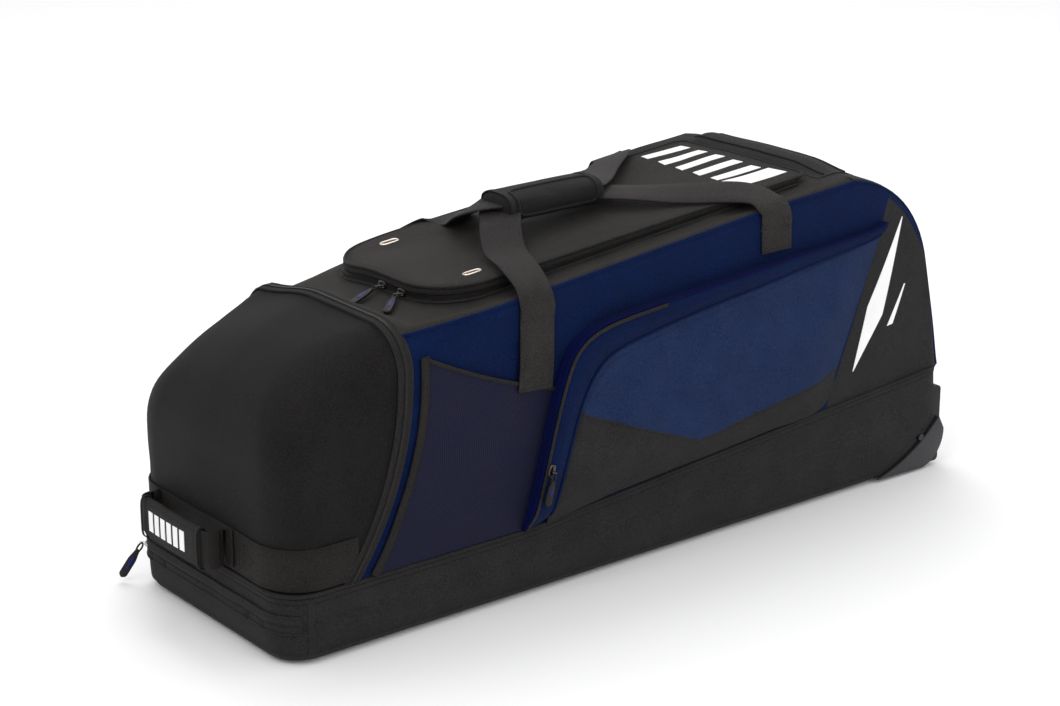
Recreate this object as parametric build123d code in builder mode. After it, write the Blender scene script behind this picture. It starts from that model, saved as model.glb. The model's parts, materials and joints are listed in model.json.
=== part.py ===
"""Wheeled equipment bag with a moulded helmet dome, a shoe tray in its base and a zipped lid.

Millimetres. +Z is up, the dome is at -X, the wheels are at +X, and the origin is on the floor,
under the middle of everything that the bag's outline takes in.
"""

import os
from math import atan, cos, degrees, radians, sin

from build123d import *

os.makedirs("parts", exist_ok=True)

# Overall sizes
bag_length = 922.0
bag_width = 292.0
wall = 4.0
gap = 0.4
floor_clearance = 5.0

# Base tub
base_front_height = 76.0
base_rear_height = 128.0
seam_knee = 293.0
base_front_radius = 38.0
base_rear_radius = 26.0
board_thickness = 3.0
divider_thickness = 3.0

# Front handle, which sets how far the outline reaches past the dome
handle_stand_off = 32.0
handle_height = 40.0
handle_rise = 8.0
sleeve_length = 106.0
sleeve_thickness = 10.0
handle_span = 160.0
webbing_thickness = 2.4
handle_offset = 19.0
handle_foot = 12.0
handle_foot_inset = 2.0
handle_bend = 9.0
sleeve_overlap = 4.0
sleeve_margin = 1.5

# Wheels
wheel_radius = 42.0
wheel_width = 24.0
wheel_stand_off = 9.0
hub_radius = 29.0
bearing_radius = 11.0
bearing_width = 7.0
axle_radius = 4.0
running_gap = 0.05
wheel_gap = 4.0
cheek = 3.0
guard_thickness = 3.6
housing_height = 100.0
housing_length = 112.0
guard_top_share = 0.62
guard_drop = 2.0

# Shape of the body above the seam
arch_bottom = 69.0
arch_middle = 124.0
arch_middle_height = 181.0
arch_top = 133.0
arch_height = 328.0
arch_zip_width = 12.0
arch_corner_radius = 45.0
deck_front_height = 313.5
deck_rear_height = 377.5
shoulder = 157.0
shoulder_round_run = 72.0
shoulder_round_drop = 33.0
rear_foot_of_round = 38.0
rear_round_drop = 115.0
rear_lean = 4.0

# Dome
dome_wall = 5.0
dome_corner_radius = 55.0
dome_side_inset = 2.0
dome_shoulder_radius = 105.0
dome_straight_height = 190.0
dome_brow = 100.0
dome_brow_height = 314.0
dome_cheek = 27.0
dome_cheek_height = 267.0
band_height = 45.0
band_rise = 3.0

# Shoe tray flap in the front of the base
tray_zip_height = 45.0
flap_half_width = 80.0
flap_bottom = 10.0
flap_gap = 1.0

# Lid
lid_front = 218.0
lid_rear = 195.0
lid_half_width = 106.0
lid_corner_radius = 62.0
lid_rear_radius = 12.0
lid_least_radius = 2.0
lid_front_rise = 16.0
lid_rear_rise = 7.0
lid_zip_share = 0.4
lid_panel_thickness = 3.5
lid_rim_thickness = 4.0
lid_ledge = 14.0
eyelet_length = 18.0
eyelet_width = 9.0
eyelet_rise = 1.2
eyelet_back = 66.0
eyelet_side = 74.0

# Rear top pocket
rear_pocket_front = 184.0
rear_pocket_rear = 126.0
rear_pocket_height = 10.0
rear_pocket_half_width = 112.0

# Side pockets
pocket_depth = 18.0
pocket_wall = 3.0
pocket_front_bottom = 292.0
pocket_front_top = 341.0
pocket_front_height = 248.0
pocket_round_back = 27.0
pocket_round_height = 275.0
pocket_top_start = 420.0
pocket_top_start_height = 290.0
pocket_rear_top = 104.0
pocket_rear_top_height = 322.0
pocket_rear_bottom = 190.0
pocket_lift = 2.0

# Mesh pockets
mesh_depth = 3.0
mesh_gap = 2.0
mesh_top_front = 297.0
mesh_hem_low = 232.0
mesh_front_top = 168.0
mesh_bottom_share = 3.4

# Carry straps
strap_width = 45.0
front_leg = 311.0
rear_leg = 280.0
front_leg_height = 233.0
rear_leg_height = 318.0
leg_top_drop = 16.0
wrap_length = 140.0
wrap_width = 46.0
wrap_thickness = 34.0
grip_run = 26.0
wrap_start = 365.0
wrap_clearance = 3.0
grip_pitch = 10.0
grip_slot = 15.0
strap_lift = 6.0
strap_over_share = 1.5
strap_clearance = 5.2
strap_narrowing = 4.0
strap_overlap = 2.0
ribbon_overlap = 1.0
wrap_seam = 3.0
wrap_end = 2.0

# Zip sliders and pulls
slider_length = 13.0
slider_width = 9.0
slider_thickness = 5.0
slider_gap = 0.8
slider_rise = 1.0
pull_width = 9.0
pull_thickness = 3.0
pull_length = 46.0
pull_droop = 4.0
slider_a_offset = -10.0
tray_slider_angle = 38.0
tray_pull_lean = 32.0
pull_a_turn = 18.0
pull_b_turn = 42.0
slider_corner = 2.0
small_pull_share = 0.8
pull_neck_share = 0.5
pull_grip_share = 0.6
pocket_slider_share = 0.4

# Feet
foot_length = 44.0
foot_width = 22.0
foot_back = 78.0
foot_side = 88.0
foot_radius = 6.0

# Places worked out from the sizes above
half_width = bag_width / 2
shift = (handle_stand_off - wheel_stand_off) / 2
front_x = -bag_length / 2 + shift
rear_x = bag_length / 2 + shift
inner_half = half_width - wall - gap
knee_x = front_x + seam_knee
arch_bottom_x = front_x + arch_bottom
arch_middle_x = front_x + arch_middle
arch_top_x = front_x + arch_top
shoulder_x = rear_x - shoulder
seam_slope = (base_rear_height - base_front_height) / (rear_x - knee_x)
deck_slope = (deck_rear_height - deck_front_height) / (shoulder_x - arch_top_x)
axle_x = rear_x + wheel_stand_off - wheel_radius
wheel_middle = half_width - cheek - wheel_gap / 2 - wheel_width / 2
lid_front_x = front_x + lid_front
lid_rear_x = rear_x - lid_rear
diagonal = sin(radians(45))
SIDES = (("left", -1), ("right", 1))


def seam_z(x):
    """Height of the seam between base and body."""
    return base_front_height + max(0.0, x - knee_x) * seam_slope


def deck_z(x):
    """Height of the top panel around the lid."""
    return deck_front_height + (x - arch_top_x) * deck_slope


def lid_top_z(x):
    """Height of the lid's upper face."""
    along = (x - lid_front_x) / (lid_rear_x - lid_front_x)
    return deck_z(x) + lid_front_rise + (lid_rear_rise - lid_front_rise) * along


def zip_line_z(x):
    """Height of the lid's zip, a share of the way from deck to lid top."""
    return deck_z(x) + lid_zip_share * (lid_top_z(x) - deck_z(x))


def flank(sign, distance):
    """Upright plane along the bag, at a distance to one side of its middle."""
    return Plane.XZ.offset(-sign * distance)


def save(part, name):
    """Label a finished piece and write it."""
    part.label = name
    export_step(part, f"parts/{name}.step")


def front_of_arch(reach):
    """Side region in front of the arch line, moved back by reach."""
    bottom = (arch_bottom_x + reach, base_front_height)
    middle = (arch_middle_x + reach, arch_middle_height)
    top = (arch_top_x + reach, arch_height)
    far_x = front_x - bag_width
    with BuildSketch() as region:
        with BuildLine():
            ThreePointArc(bottom, middle, top)
            Polyline(
                top,
                (top[0], arch_height + half_width),
                (far_x, arch_height + half_width),
                (far_x, 0),
                (bottom[0], 0),
                bottom,
            )
        make_face()
    return region.sketch


def between(x_start, x_end, low, high):
    """Side region between two height functions."""
    with BuildSketch() as region:
        with BuildLine():
            Polyline(
                (x_start, low(x_start)),
                (x_end, low(x_end)),
                (x_end, high(x_end)),
                (x_start, high(x_start)),
                close=True,
            )
        make_face()
    return region.sketch


def body_outline(inset=0):
    """Side outline of the body from the seam to the deck, drawn in by inset."""
    start_x = arch_bottom_x
    round_middle = (shoulder_x + shoulder_round_run, deck_rear_height - shoulder_round_drop)
    round_end = (rear_x - rear_foot_of_round, deck_rear_height - rear_round_drop)
    rear_foot = (rear_x - rear_lean, seam_z(rear_x))
    with BuildSketch() as region:
        with BuildLine():
            Line((start_x, deck_z(start_x)), (shoulder_x, deck_rear_height))
            ThreePointArc((shoulder_x, deck_rear_height), round_middle, round_end)
            Polyline(
                round_end,
                rear_foot,
                (knee_x, seam_z(knee_x)),
                (start_x, seam_z(start_x)),
                (start_x, deck_z(start_x)),
            )
        make_face()
        if inset:
            offset(amount=-inset, kind=Kind.INTERSECTION, mode=Mode.REPLACE)
    return region.sketch


def plan_outline(start_x, end_x, side, front_radius, rear_radius):
    """Rectangle seen from above with its front and rear corners rounded."""
    with BuildSketch() as plan:
        with Locations(((start_x + end_x) / 2, 0)):
            Rectangle(end_x - start_x, 2 * side)
        fillet(plan.vertices().group_by(Axis.X)[0], radius=front_radius)
        fillet(plan.vertices().group_by(Axis.X)[-1], radius=rear_radius)
    return plan.sketch


def base_plan(inset):
    """Plan of the base tub, drawn in by inset."""
    return plan_outline(
        front_x + inset,
        rear_x - inset,
        half_width - inset,
        base_front_radius - inset,
        base_rear_radius - inset,
    )


def lid_plan(inset):
    """Plan of the lid, drawn in by inset."""
    return plan_outline(
        lid_front_x + inset,
        lid_rear_x - inset,
        lid_half_width - inset,
        lid_corner_radius - inset,
        max(lid_rear_radius - inset, lid_least_radius),
    )


def plan_ring(plan, outer_inset, inner_inset, height):
    """Upright ring between two insets of a plan."""
    outer = plan(outer_inset)
    inner = plan(inner_inset)
    with BuildPart() as ring:
        with BuildSketch():
            add(outer)
            add(inner, mode=Mode.SUBTRACT)
        extrude(amount=height)
    return ring.part


def dome_block(inset, bottom):
    """The dome's volume: plan, side outline and arch outline, each cutting the next."""
    side = half_width - dome_side_inset - inset
    back_x = arch_top_x + wall
    top = arch_height - inset
    with BuildPart() as block:
        with BuildSketch(Plane.XY.offset(bottom)):
            with Locations(((front_x + inset + back_x) / 2, 0)):
                Rectangle(back_x - front_x - inset, 2 * side)
            fillet(vertices().group_by(Axis.X)[0], radius=dome_corner_radius - inset)
        extrude(amount=arch_height)
        with BuildSketch(Plane.XZ):
            with BuildLine():
                Line((front_x + inset, bottom), (front_x + inset, dome_straight_height))
                ThreePointArc(
                    (front_x + inset, dome_straight_height),
                    (front_x + dome_cheek + inset, dome_cheek_height - inset),
                    (front_x + dome_brow, dome_brow_height - inset),
                )
                Polyline(
                    (front_x + dome_brow, dome_brow_height - inset),
                    (back_x, top),
                    (back_x, bottom),
                    (front_x + inset, bottom),
                )
            make_face()
        extrude(amount=half_width, both=True, mode=Mode.INTERSECT)
        with BuildSketch(Plane.YZ):
            with Locations((0, (top + bottom) / 2)):
                Rectangle(2 * side, top - bottom)
            fillet(vertices().group_by(Axis.Y)[-1], radius=dome_shoulder_radius - inset)
        extrude(amount=bag_length, both=True, mode=Mode.INTERSECT)
    return block.part


def ribbon(start, end, width, thickness):
    """Flat length of webbing from start to end, its width as near level as it can be."""
    along = Vector(*end) - Vector(*start)
    middle = Vector(*start) + along * 0.5
    across = along.cross(Vector(0, 0, 1)).normalized()
    plane = Plane(origin=middle, x_dir=along.normalized(), z_dir=along.cross(across).normalized())
    return plane * Box(along.length, width, thickness)


# Base tub: floor board, wall, inner divider and feet
base_wall = plan_ring(base_plan, 0, wall, base_rear_height)
wheel_bay_depth = wheel_width + wheel_gap + 2 * cheek + gap
wheel_bay_inner = half_width - wheel_bay_depth

with BuildPart() as base_shell:
    add(base_wall)
    with BuildSketch(Plane.XZ):
        add(
            between(
                front_x - wall,
                knee_x,
                lambda x: floor_clearance,
                lambda x: seam_z(x) - gap,
            )
        )
        add(
            between(
                knee_x,
                rear_x + wall,
                lambda x: floor_clearance,
                lambda x: seam_z(x) - gap,
            )
        )
    extrude(amount=half_width, both=True, mode=Mode.INTERSECT)
    with BuildSketch(Plane.YZ.offset(front_x - wall)):
        with Locations((0, (flap_bottom + tray_zip_height) / 2)):
            Rectangle(2 * flap_half_width, tray_zip_height - flap_bottom)
    extrude(amount=3 * wall, mode=Mode.SUBTRACT)
    for name, sign in SIDES:
        with BuildSketch(Plane.XY):
            with Locations((rear_x - housing_length / 2, sign * (half_width - wheel_bay_depth / 2))):
                Rectangle(housing_length + wall, wheel_bay_depth + gap)
        extrude(amount=housing_height + gap, mode=Mode.SUBTRACT)
        with BuildSketch(Plane.XY):
            with Locations((rear_x, sign * (half_width - wheel_bay_depth / 2))):
                Rectangle(4 * wall, wheel_bay_depth + gap)
        extrude(amount=housing_height + gap, mode=Mode.SUBTRACT)
save(base_shell.part, "base_shell")

with BuildPart() as base_board:
    with BuildSketch(Plane.XY.offset(floor_clearance)):
        add(base_plan(wall + gap))
        for name, sign in SIDES:
            with Locations((rear_x - housing_length / 2, sign * (half_width - wheel_bay_depth / 2))):
                Rectangle(housing_length + 2 * wall, wheel_bay_depth + 2 * gap, mode=Mode.SUBTRACT)
    extrude(amount=board_thickness)
save(base_board.part, "base_board")

with BuildPart() as divider_panel:
    with BuildSketch(Plane.XY):
        add(base_plan(wall + gap))
    extrude(amount=base_rear_height)
    with BuildSketch(Plane.XZ):
        add(
            between(
                front_x,
                knee_x,
                lambda x: seam_z(x) - 2 * divider_thickness,
                lambda x: seam_z(x) - divider_thickness,
            )
        )
        add(
            between(
                knee_x,
                rear_x,
                lambda x: seam_z(x) - 2 * divider_thickness,
                lambda x: seam_z(x) - divider_thickness,
            )
        )
    extrude(amount=half_width, both=True, mode=Mode.INTERSECT)
save(divider_panel.part, "divider_panel")

with BuildPart() as tray_flap:
    with BuildSketch(Plane.YZ.offset(front_x)):
        with Locations((0, (flap_bottom + tray_zip_height) / 2)):
            Rectangle(
                2 * (flap_half_width - flap_gap),
                tray_zip_height - flap_bottom - 2 * flap_gap,
            )
    extrude(amount=wall)
save(tray_flap.part, "tray_flap")

for name, sign in SIDES:
    with BuildPart() as foot:
        with BuildSketch(Plane.XY):
            with Locations((front_x + foot_back, sign * foot_side)):
                RectangleRounded(foot_length, foot_width, foot_radius)
        extrude(amount=floor_clearance)
    save(foot.part, f"foot_{name}")

# Wheels, each in a housing let into a rear corner of the base
for name, sign in SIDES:
    well = wheel_radius + wheel_gap
    outer_face = half_width - cheek / 2
    with BuildPart() as housing:
        with BuildSketch(flank(sign, wheel_bay_inner + gap)):
            with BuildLine():
                FilletPolyline(
                    (rear_x - housing_length + wall, floor_clearance + gap),
                    (rear_x, floor_clearance + gap),
                    (rear_x, housing_height),
                    (rear_x - housing_length + wall, housing_height),
                    close=True,
                    radius=floor_clearance,
                )
            make_face()
        extrude(amount=-sign * (wheel_bay_depth - gap - cheek / 2))
        with BuildSketch(flank(sign, wheel_middle)):
            with Locations((axle_x, wheel_radius)):
                Circle(well)
        extrude(amount=(wheel_width + wheel_gap) / 2, both=True, mode=Mode.SUBTRACT)
        with BuildSketch(flank(sign, wheel_middle)):
            with Locations((axle_x, wheel_radius)):
                Circle(axle_radius + running_gap)
        extrude(amount=bag_width / 4, both=True, mode=Mode.SUBTRACT)
    save(housing.part, f"wheel_housing_{name}")

    with BuildPart() as guard:
        with BuildSketch(flank(sign, outer_face + gap)):
            guard_tail = (rear_x - housing_length + 2 * wall, floor_clearance)
            guard_top = (rear_x - wall, guard_top_share * housing_height)
            guard_low = (axle_x + wall, floor_clearance - guard_drop)
            guard_back = (rear_x + wheel_stand_off / 2, wheel_radius + wall)
            guard_turn = (
                axle_x + (rear_x - axle_x) * diagonal + wall,
                wheel_radius * (1 - diagonal) + wall,
            )
            guard_inside = (
                (guard_tail[0] + guard_top[0]) / 2 + wall,
                (guard_tail[1] + guard_top[1]) / 2 - 2 * wall,
            )
            with BuildLine():
                Line(guard_tail, guard_low)
                ThreePointArc(guard_low, guard_turn, guard_back)
                Line(guard_back, guard_top)
                ThreePointArc(guard_top, guard_inside, guard_tail)
            make_face()
        extrude(amount=-sign * guard_thickness)
        with BuildSketch(flank(sign, outer_face + gap)):
            with Locations((axle_x, wheel_radius)):
                Circle(axle_radius + running_gap)
        extrude(amount=-sign * guard_thickness, mode=Mode.SUBTRACT)
    save(guard.part, f"wheel_guard_{name}")

    with BuildPart() as axle:
        with BuildSketch(flank(sign, wheel_bay_inner + gap)):
            with Locations((axle_x, wheel_radius)):
                Circle(axle_radius - running_gap)
        extrude(amount=-sign * (outer_face + guard_thickness - wheel_bay_inner - gap))
    save(axle.part, f"wheel_axle_{name}")

    with BuildPart() as tyre:
        with BuildSketch(flank(sign, wheel_middle)):
            with Locations((axle_x, wheel_radius)):
                Circle(wheel_radius)
                Circle(hub_radius, mode=Mode.SUBTRACT)
        extrude(amount=wheel_width / 2, both=True)
        chamfer(edges().filter_by(GeomType.CIRCLE).group_by(SortBy.RADIUS)[-1], length=wall)
    save(tyre.part, f"tyre_{name}")

    with BuildPart() as hub:
        with BuildSketch(flank(sign, wheel_middle)):
            with Locations((axle_x, wheel_radius)):
                Circle(hub_radius)
                Circle(bearing_radius, mode=Mode.SUBTRACT)
        extrude(amount=wheel_width / 2 - 1, both=True)
        with BuildSketch(flank(sign, wheel_middle)):
            with Locations((axle_x, wheel_radius)):
                Circle(hub_radius - wall)
                Circle(bearing_radius + wall, mode=Mode.SUBTRACT)
        extrude(amount=wheel_width, both=True, mode=Mode.SUBTRACT)
        with BuildSketch(flank(sign, wheel_middle)):
            with Locations((axle_x, wheel_radius)):
                with PolarLocations(0, 5):
                    with Locations(((bearing_radius + hub_radius) / 2, 0)):
                        Rectangle(hub_radius - bearing_radius - wall, 2 * wall)
        extrude(amount=wheel_width / 2 - wall, both=True)
    save(hub.part, f"wheel_hub_{name}")

    with BuildPart() as bearings:
        for end in (-1, 1):
            face = wheel_middle + end * (wheel_width / 2 - 1 - bearing_width / 2)
            with BuildSketch(flank(sign, face)):
                with Locations((axle_x, wheel_radius)):
                    Circle(bearing_radius)
                    Circle(axle_radius, mode=Mode.SUBTRACT)
            extrude(amount=bearing_width / 2, both=True)
    save(bearings.part, f"wheel_bearings_{name}")

# Body panels
for name, sign in SIDES:
    with BuildPart() as side_panel:
        with BuildSketch(flank(sign, half_width - wall)):
            add(body_outline())
        extrude(amount=-sign * wall)
        with BuildSketch(Plane.XZ):
            add(front_of_arch(arch_zip_width + gap))
        extrude(amount=bag_width, both=True, mode=Mode.SUBTRACT)
    save(side_panel.part, f"side_panel_{name}")

with BuildPart() as rear_panel:
    with BuildSketch(Plane.XZ):
        add(body_outline())
        add(body_outline(wall), mode=Mode.SUBTRACT)
        with BuildLine():
            Polyline(
                (shoulder_x, deck_rear_height + wall),
                (rear_x + wall, deck_rear_height + wall),
                (rear_x + wall, base_front_height),
                (rear_x - 3 * wall, base_front_height),
                (shoulder_x, deck_rear_height - 2 * shoulder_round_drop),
                close=True,
            )
        make_face(mode=Mode.INTERSECT)
    extrude(amount=inner_half, both=True)
save(rear_panel.part, "rear_panel")

with BuildPart() as top_frame:
    with BuildSketch(Plane.XZ):
        add(
            between(
                arch_bottom_x,
                shoulder_x - gap,
                lambda x: deck_z(x) - wall,
                lambda x: deck_z(x),
            )
        )
    extrude(amount=inner_half, both=True)
    with BuildSketch(Plane.XZ):
        add(front_of_arch(arch_zip_width + gap))
    extrude(amount=bag_width, both=True, mode=Mode.SUBTRACT)
    with BuildSketch(Plane.XY):
        add(lid_plan(lid_ledge))
    extrude(amount=2 * arch_height, mode=Mode.SUBTRACT)
save(top_frame.part, "top_frame")

with BuildPart() as arch_zip:
    with BuildSketch(Plane.YZ):
        with Locations((0, (arch_height + base_front_height + gap) / 2)):
            Rectangle(bag_width, arch_height - base_front_height - gap)
        fillet(vertices().group_by(Axis.Y)[-1], radius=arch_corner_radius)
    extrude(amount=bag_length, both=True)
    with BuildSketch(Plane.YZ):
        with Locations((0, (arch_height - wall) / 2)):
            Rectangle(bag_width - 2 * wall, arch_height - wall)
        fillet(vertices().group_by(Axis.Y)[-1], radius=arch_corner_radius - wall)
    extrude(amount=bag_length, both=True, mode=Mode.SUBTRACT)
    with BuildSketch(Plane.XZ):
        add(front_of_arch(arch_zip_width))
    extrude(amount=bag_width, both=True, mode=Mode.INTERSECT)
    with BuildSketch(Plane.XZ):
        add(front_of_arch(0))
    extrude(amount=bag_width, both=True, mode=Mode.SUBTRACT)
save(arch_zip.part, "arch_zip")

with BuildPart() as rear_pocket:
    with BuildSketch(Plane.XZ):
        with BuildLine():
            pocket_start_x = rear_x - rear_pocket_front
            pocket_end_x = rear_x - rear_pocket_rear
            Polyline(
                (pocket_start_x, deck_z(pocket_start_x) + gap),
                (shoulder_x, deck_rear_height + gap),
                (pocket_end_x, deck_rear_height + gap),
                (pocket_end_x - wall, deck_rear_height + rear_pocket_height - wall),
                (pocket_start_x + 3 * wall, deck_rear_height + rear_pocket_height),
                close=True,
            )
        make_face()
    extrude(amount=rear_pocket_half_width, both=True)
    fillet(edges().filter_by(Axis.Y).group_by(Axis.Z)[-1], radius=wall)
save(rear_pocket.part, "rear_pocket")

# Dome with its sewn band and grab handle
dome_bottom = base_front_height + gap
dome_outer = dome_block(0, dome_bottom)
dome_inner = dome_block(dome_wall, dome_bottom)

with BuildPart() as dome_shell:
    add(dome_outer)
    add(dome_inner, mode=Mode.SUBTRACT)
    with BuildSketch(Plane.XZ):
        add(front_of_arch(-gap))
    extrude(amount=bag_width, both=True, mode=Mode.INTERSECT)
save(dome_shell.part, "dome_shell")

with BuildPart() as dome_band:
    for reach, mode in ((webbing_thickness, Mode.ADD), (0, Mode.SUBTRACT)):
        side = half_width - dome_side_inset + reach
        with BuildSketch(Plane.XY.offset(dome_bottom + band_rise)):
            with Locations(((front_x - reach + arch_top_x) / 2, 0)):
                Rectangle(arch_top_x - front_x + reach, 2 * side)
            fillet(vertices().group_by(Axis.X)[0], radius=dome_corner_radius + reach)
        extrude(amount=band_height, mode=mode)
    with BuildSketch(Plane.XZ):
        add(front_of_arch(-gap))
    extrude(amount=bag_width, both=True, mode=Mode.INTERSECT)
save(dome_band.part, "dome_band")

handle_z = dome_bottom + handle_rise
handle_front_x = front_x - handle_stand_off
strap_line_x = handle_front_x + sleeve_thickness / 2
root_x = front_x - webbing_thickness - webbing_thickness / 2
foot_start = handle_span / 2 - handle_foot_inset
foot_end = foot_start - handle_foot
sleeve_half = sleeve_length / 2

with BuildPart() as grab_handle:
    with BuildSketch(Plane.XY.offset(handle_z)):
        with BuildLine():
            FilletPolyline(
                (root_x, handle_offset - foot_end),
                (root_x, handle_offset - foot_start),
                (strap_line_x, handle_offset - sleeve_half - sleeve_overlap),
                (strap_line_x, handle_offset + sleeve_half + sleeve_overlap),
                (root_x, handle_offset + foot_start),
                (root_x, handle_offset + foot_end),
                radius=(handle_foot_inset, handle_bend, handle_bend, handle_foot_inset),
            )
        trace(line_width=webbing_thickness)
    extrude(amount=handle_height)
save(grab_handle.part, "grab_handle")

with BuildPart() as grab_sleeve:
    with BuildSketch(Plane.XY.offset(handle_z - sleeve_margin)):
        with Locations((strap_line_x, handle_offset)):
            Rectangle(sleeve_thickness, sleeve_length)
        fillet(vertices(), radius=wall)
    extrude(amount=handle_height + 2 * sleeve_margin)
    with BuildSketch(Plane.XY.offset(handle_z - gap)):
        with Locations((strap_line_x, handle_offset)):
            Rectangle(webbing_thickness + 2 * gap, sleeve_length)
    extrude(amount=handle_height + 2 * gap, mode=Mode.SUBTRACT)
save(grab_sleeve.part, "grab_sleeve")

# Lid: zip on the bag's side, rim and panel above it
lid_outer_ring = plan_ring(lid_plan, 0, lid_rim_thickness, 2 * arch_height)
cut_back = lid_rear_x - 3 * lid_rim_thickness

with BuildPart() as lid_zip:
    add(lid_outer_ring)
    with BuildSketch(Plane.XZ):
        add(between(lid_front_x - wall, cut_back, lambda x: deck_z(x) + gap, zip_line_z))
    extrude(amount=bag_width, both=True, mode=Mode.INTERSECT)
save(lid_zip.part, "lid_zip")

with BuildPart() as lid_rim:
    add(lid_outer_ring)
    with BuildSketch(Plane.XZ):
        add(
            between(
                lid_front_x - wall,
                cut_back,
                lambda x: zip_line_z(x) + gap,
                lambda x: lid_top_z(x) - lid_panel_thickness,
            )
        )
    extrude(amount=bag_width, both=True, mode=Mode.INTERSECT)
save(lid_rim.part, "lid_rim")

with BuildPart() as lid_panel:
    with BuildSketch(Plane.XY):
        add(lid_plan(0))
    extrude(amount=2 * arch_height)
    with BuildSketch(Plane.XZ):
        add(
            between(
                lid_front_x - wall,
                lid_rear_x + wall,
                lambda x: lid_top_z(x) - lid_panel_thickness,
                lid_top_z,
            )
        )
    extrude(amount=bag_width, both=True, mode=Mode.INTERSECT)
save(lid_panel.part, "lid_panel")

eyelet_x = lid_front_x + eyelet_back
lid_tilt = degrees(atan((lid_top_z(lid_rear_x) - lid_top_z(lid_front_x)) / (lid_rear_x - lid_front_x)))
for name, sign in SIDES:
    with BuildPart() as eyelet:
        seat = Plane(
            origin=(eyelet_x, sign * eyelet_side, lid_top_z(eyelet_x)),
            x_dir=(0, 1, 0),
            z_dir=(-sin(radians(lid_tilt)), 0, cos(radians(lid_tilt))),
        )
        with BuildSketch(seat):
            SlotOverall(eyelet_length, eyelet_width)
            SlotOverall(eyelet_length - wall, eyelet_width - wall, mode=Mode.SUBTRACT)
        extrude(amount=eyelet_rise)
    save(eyelet.part, f"eyelet_{name}")

# Side pockets
pocket_points = [
    (front_x + pocket_front_bottom, seam_z(front_x + pocket_front_bottom) + pocket_lift),
    (front_x + pocket_front_top, pocket_front_height),
    (front_x + pocket_front_top + pocket_round_back, pocket_round_height),
    (front_x + pocket_top_start, pocket_top_start_height),
    (rear_x - pocket_rear_top, pocket_rear_top_height),
    (rear_x - pocket_rear_bottom, seam_z(rear_x - pocket_rear_bottom) + pocket_lift),
]


def pocket_outline(inset):
    """Outline of a side pocket, drawn in by inset."""
    with BuildSketch() as region:
        with BuildLine():
            Polyline(*pocket_points, close=True)
        make_face()
        if inset:
            offset(amount=-inset, kind=Kind.INTERSECTION, mode=Mode.REPLACE)
    return region.sketch


for name, sign in SIDES:
    with BuildPart() as side_pocket:
        with BuildSketch(flank(sign, half_width + gap)):
            add(pocket_outline(0))
        extrude(amount=-sign * pocket_depth)
        with BuildSketch(flank(sign, half_width + gap)):
            add(pocket_outline(pocket_wall))
        extrude(amount=-sign * (pocket_depth - pocket_wall), mode=Mode.SUBTRACT)
    save(side_pocket.part, f"side_pocket_{name}")

# Mesh pockets in front of them
mesh_front_x = arch_top_x + 2 * arch_zip_width
leg_front_edge_x = front_x + front_leg - strap_width / 2
mesh_bottom = base_front_height + pocket_lift
for name, sign in SIDES:
    with BuildPart() as mesh_pocket:
        with BuildSketch(flank(sign, half_width + gap)):
            with BuildLine():
                Polyline(
                    (arch_bottom_x + mesh_bottom_share * arch_zip_width, mesh_bottom),
                    (front_x + mesh_front_top, mesh_top_front),
                    (leg_front_edge_x - mesh_gap, mesh_hem_low),
                    (leg_front_edge_x - mesh_gap, mesh_bottom),
                    close=True,
                )
            make_face()
        extrude(amount=-sign * mesh_depth)
        with BuildSketch(Plane.XZ):
            add(front_of_arch(2 * arch_zip_width))
        extrude(amount=bag_width, both=True, mode=Mode.SUBTRACT)
    save(mesh_pocket.part, f"mesh_pocket_{name}")

# Carry straps: sewn legs on the sides, free lengths over the lid, and a padded wrap
wrap_start_x = front_x + wrap_start
wrap_end_x = wrap_start_x + wrap_length
wrap_middle_x = (wrap_start_x + wrap_end_x) / 2
wrap_z = lid_top_z(wrap_end_x) + wrap_clearance + wrap_thickness / 2
strap_out = half_width + 2 * gap + webbing_thickness / 2

for name, sign in SIDES:
    legs = (
        ("front", front_x + front_leg, front_leg_height),
        ("rear", rear_x - rear_leg, rear_leg_height),
    )
    for place, leg_x, low in legs:
        with BuildPart() as leg:
            with BuildSketch(flank(sign, half_width + gap)):
                with Locations((leg_x, (low + deck_z(leg_x) - leg_top_drop) / 2)):
                    Rectangle(strap_width, deck_z(leg_x) - leg_top_drop - low)
            extrude(amount=-sign * webbing_thickness)
        save(leg.part, f"strap_leg_{place}_{name}")

    grip_z = wrap_z + sign * grip_pitch / 2
    pieces = []
    for leg_x, end_x, inward in (
        (front_x + front_leg, wrap_start_x, 1),
        (rear_x - rear_leg, wrap_end_x, -1),
    ):
        low_z = deck_z(leg_x) - leg_top_drop + gap
        edge_z = deck_z(leg_x) + strap_lift
        edge_y = sign * (half_width + strap_lift)
        over_x = leg_x + inward * strap_width / 4
        over_y = sign * (lid_half_width - strap_width / 4)
        clear_z = lid_top_z(over_x) + strap_clearance - edge_z
        steepness = (half_width + strap_lift - abs(over_y)) / (half_width + strap_lift - lid_half_width)
        over_z = max(lid_top_z(over_x) + strap_over_share * strap_lift, edge_z + clear_z * steepness)
        top = (end_x - inward * (grip_run - strap_overlap), 0, grip_z)
        foot = (leg_x, sign * strap_out, low_z)
        edge = (leg_x, edge_y, edge_z)
        edge_start = (leg_x, edge_y, edge_z - ribbon_overlap)
        over = (over_x, over_y, over_z)
        pieces.append(ribbon(foot, edge, strap_width, webbing_thickness))
        pieces.append(ribbon(edge_start, over, strap_width, webbing_thickness))
        pieces.append(ribbon(over, top, strap_width - strap_narrowing, webbing_thickness))
    grip_size = (wrap_length + 2 * grip_run, wrap_width - 2 * wall, webbing_thickness)
    grip = Pos(wrap_middle_x, 0, grip_z) * Box(*grip_size)
    with BuildPart() as strap:
        add(grip)
        for piece in pieces:
            add(piece)
    save(strap.part, f"carry_strap_{name}")

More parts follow.
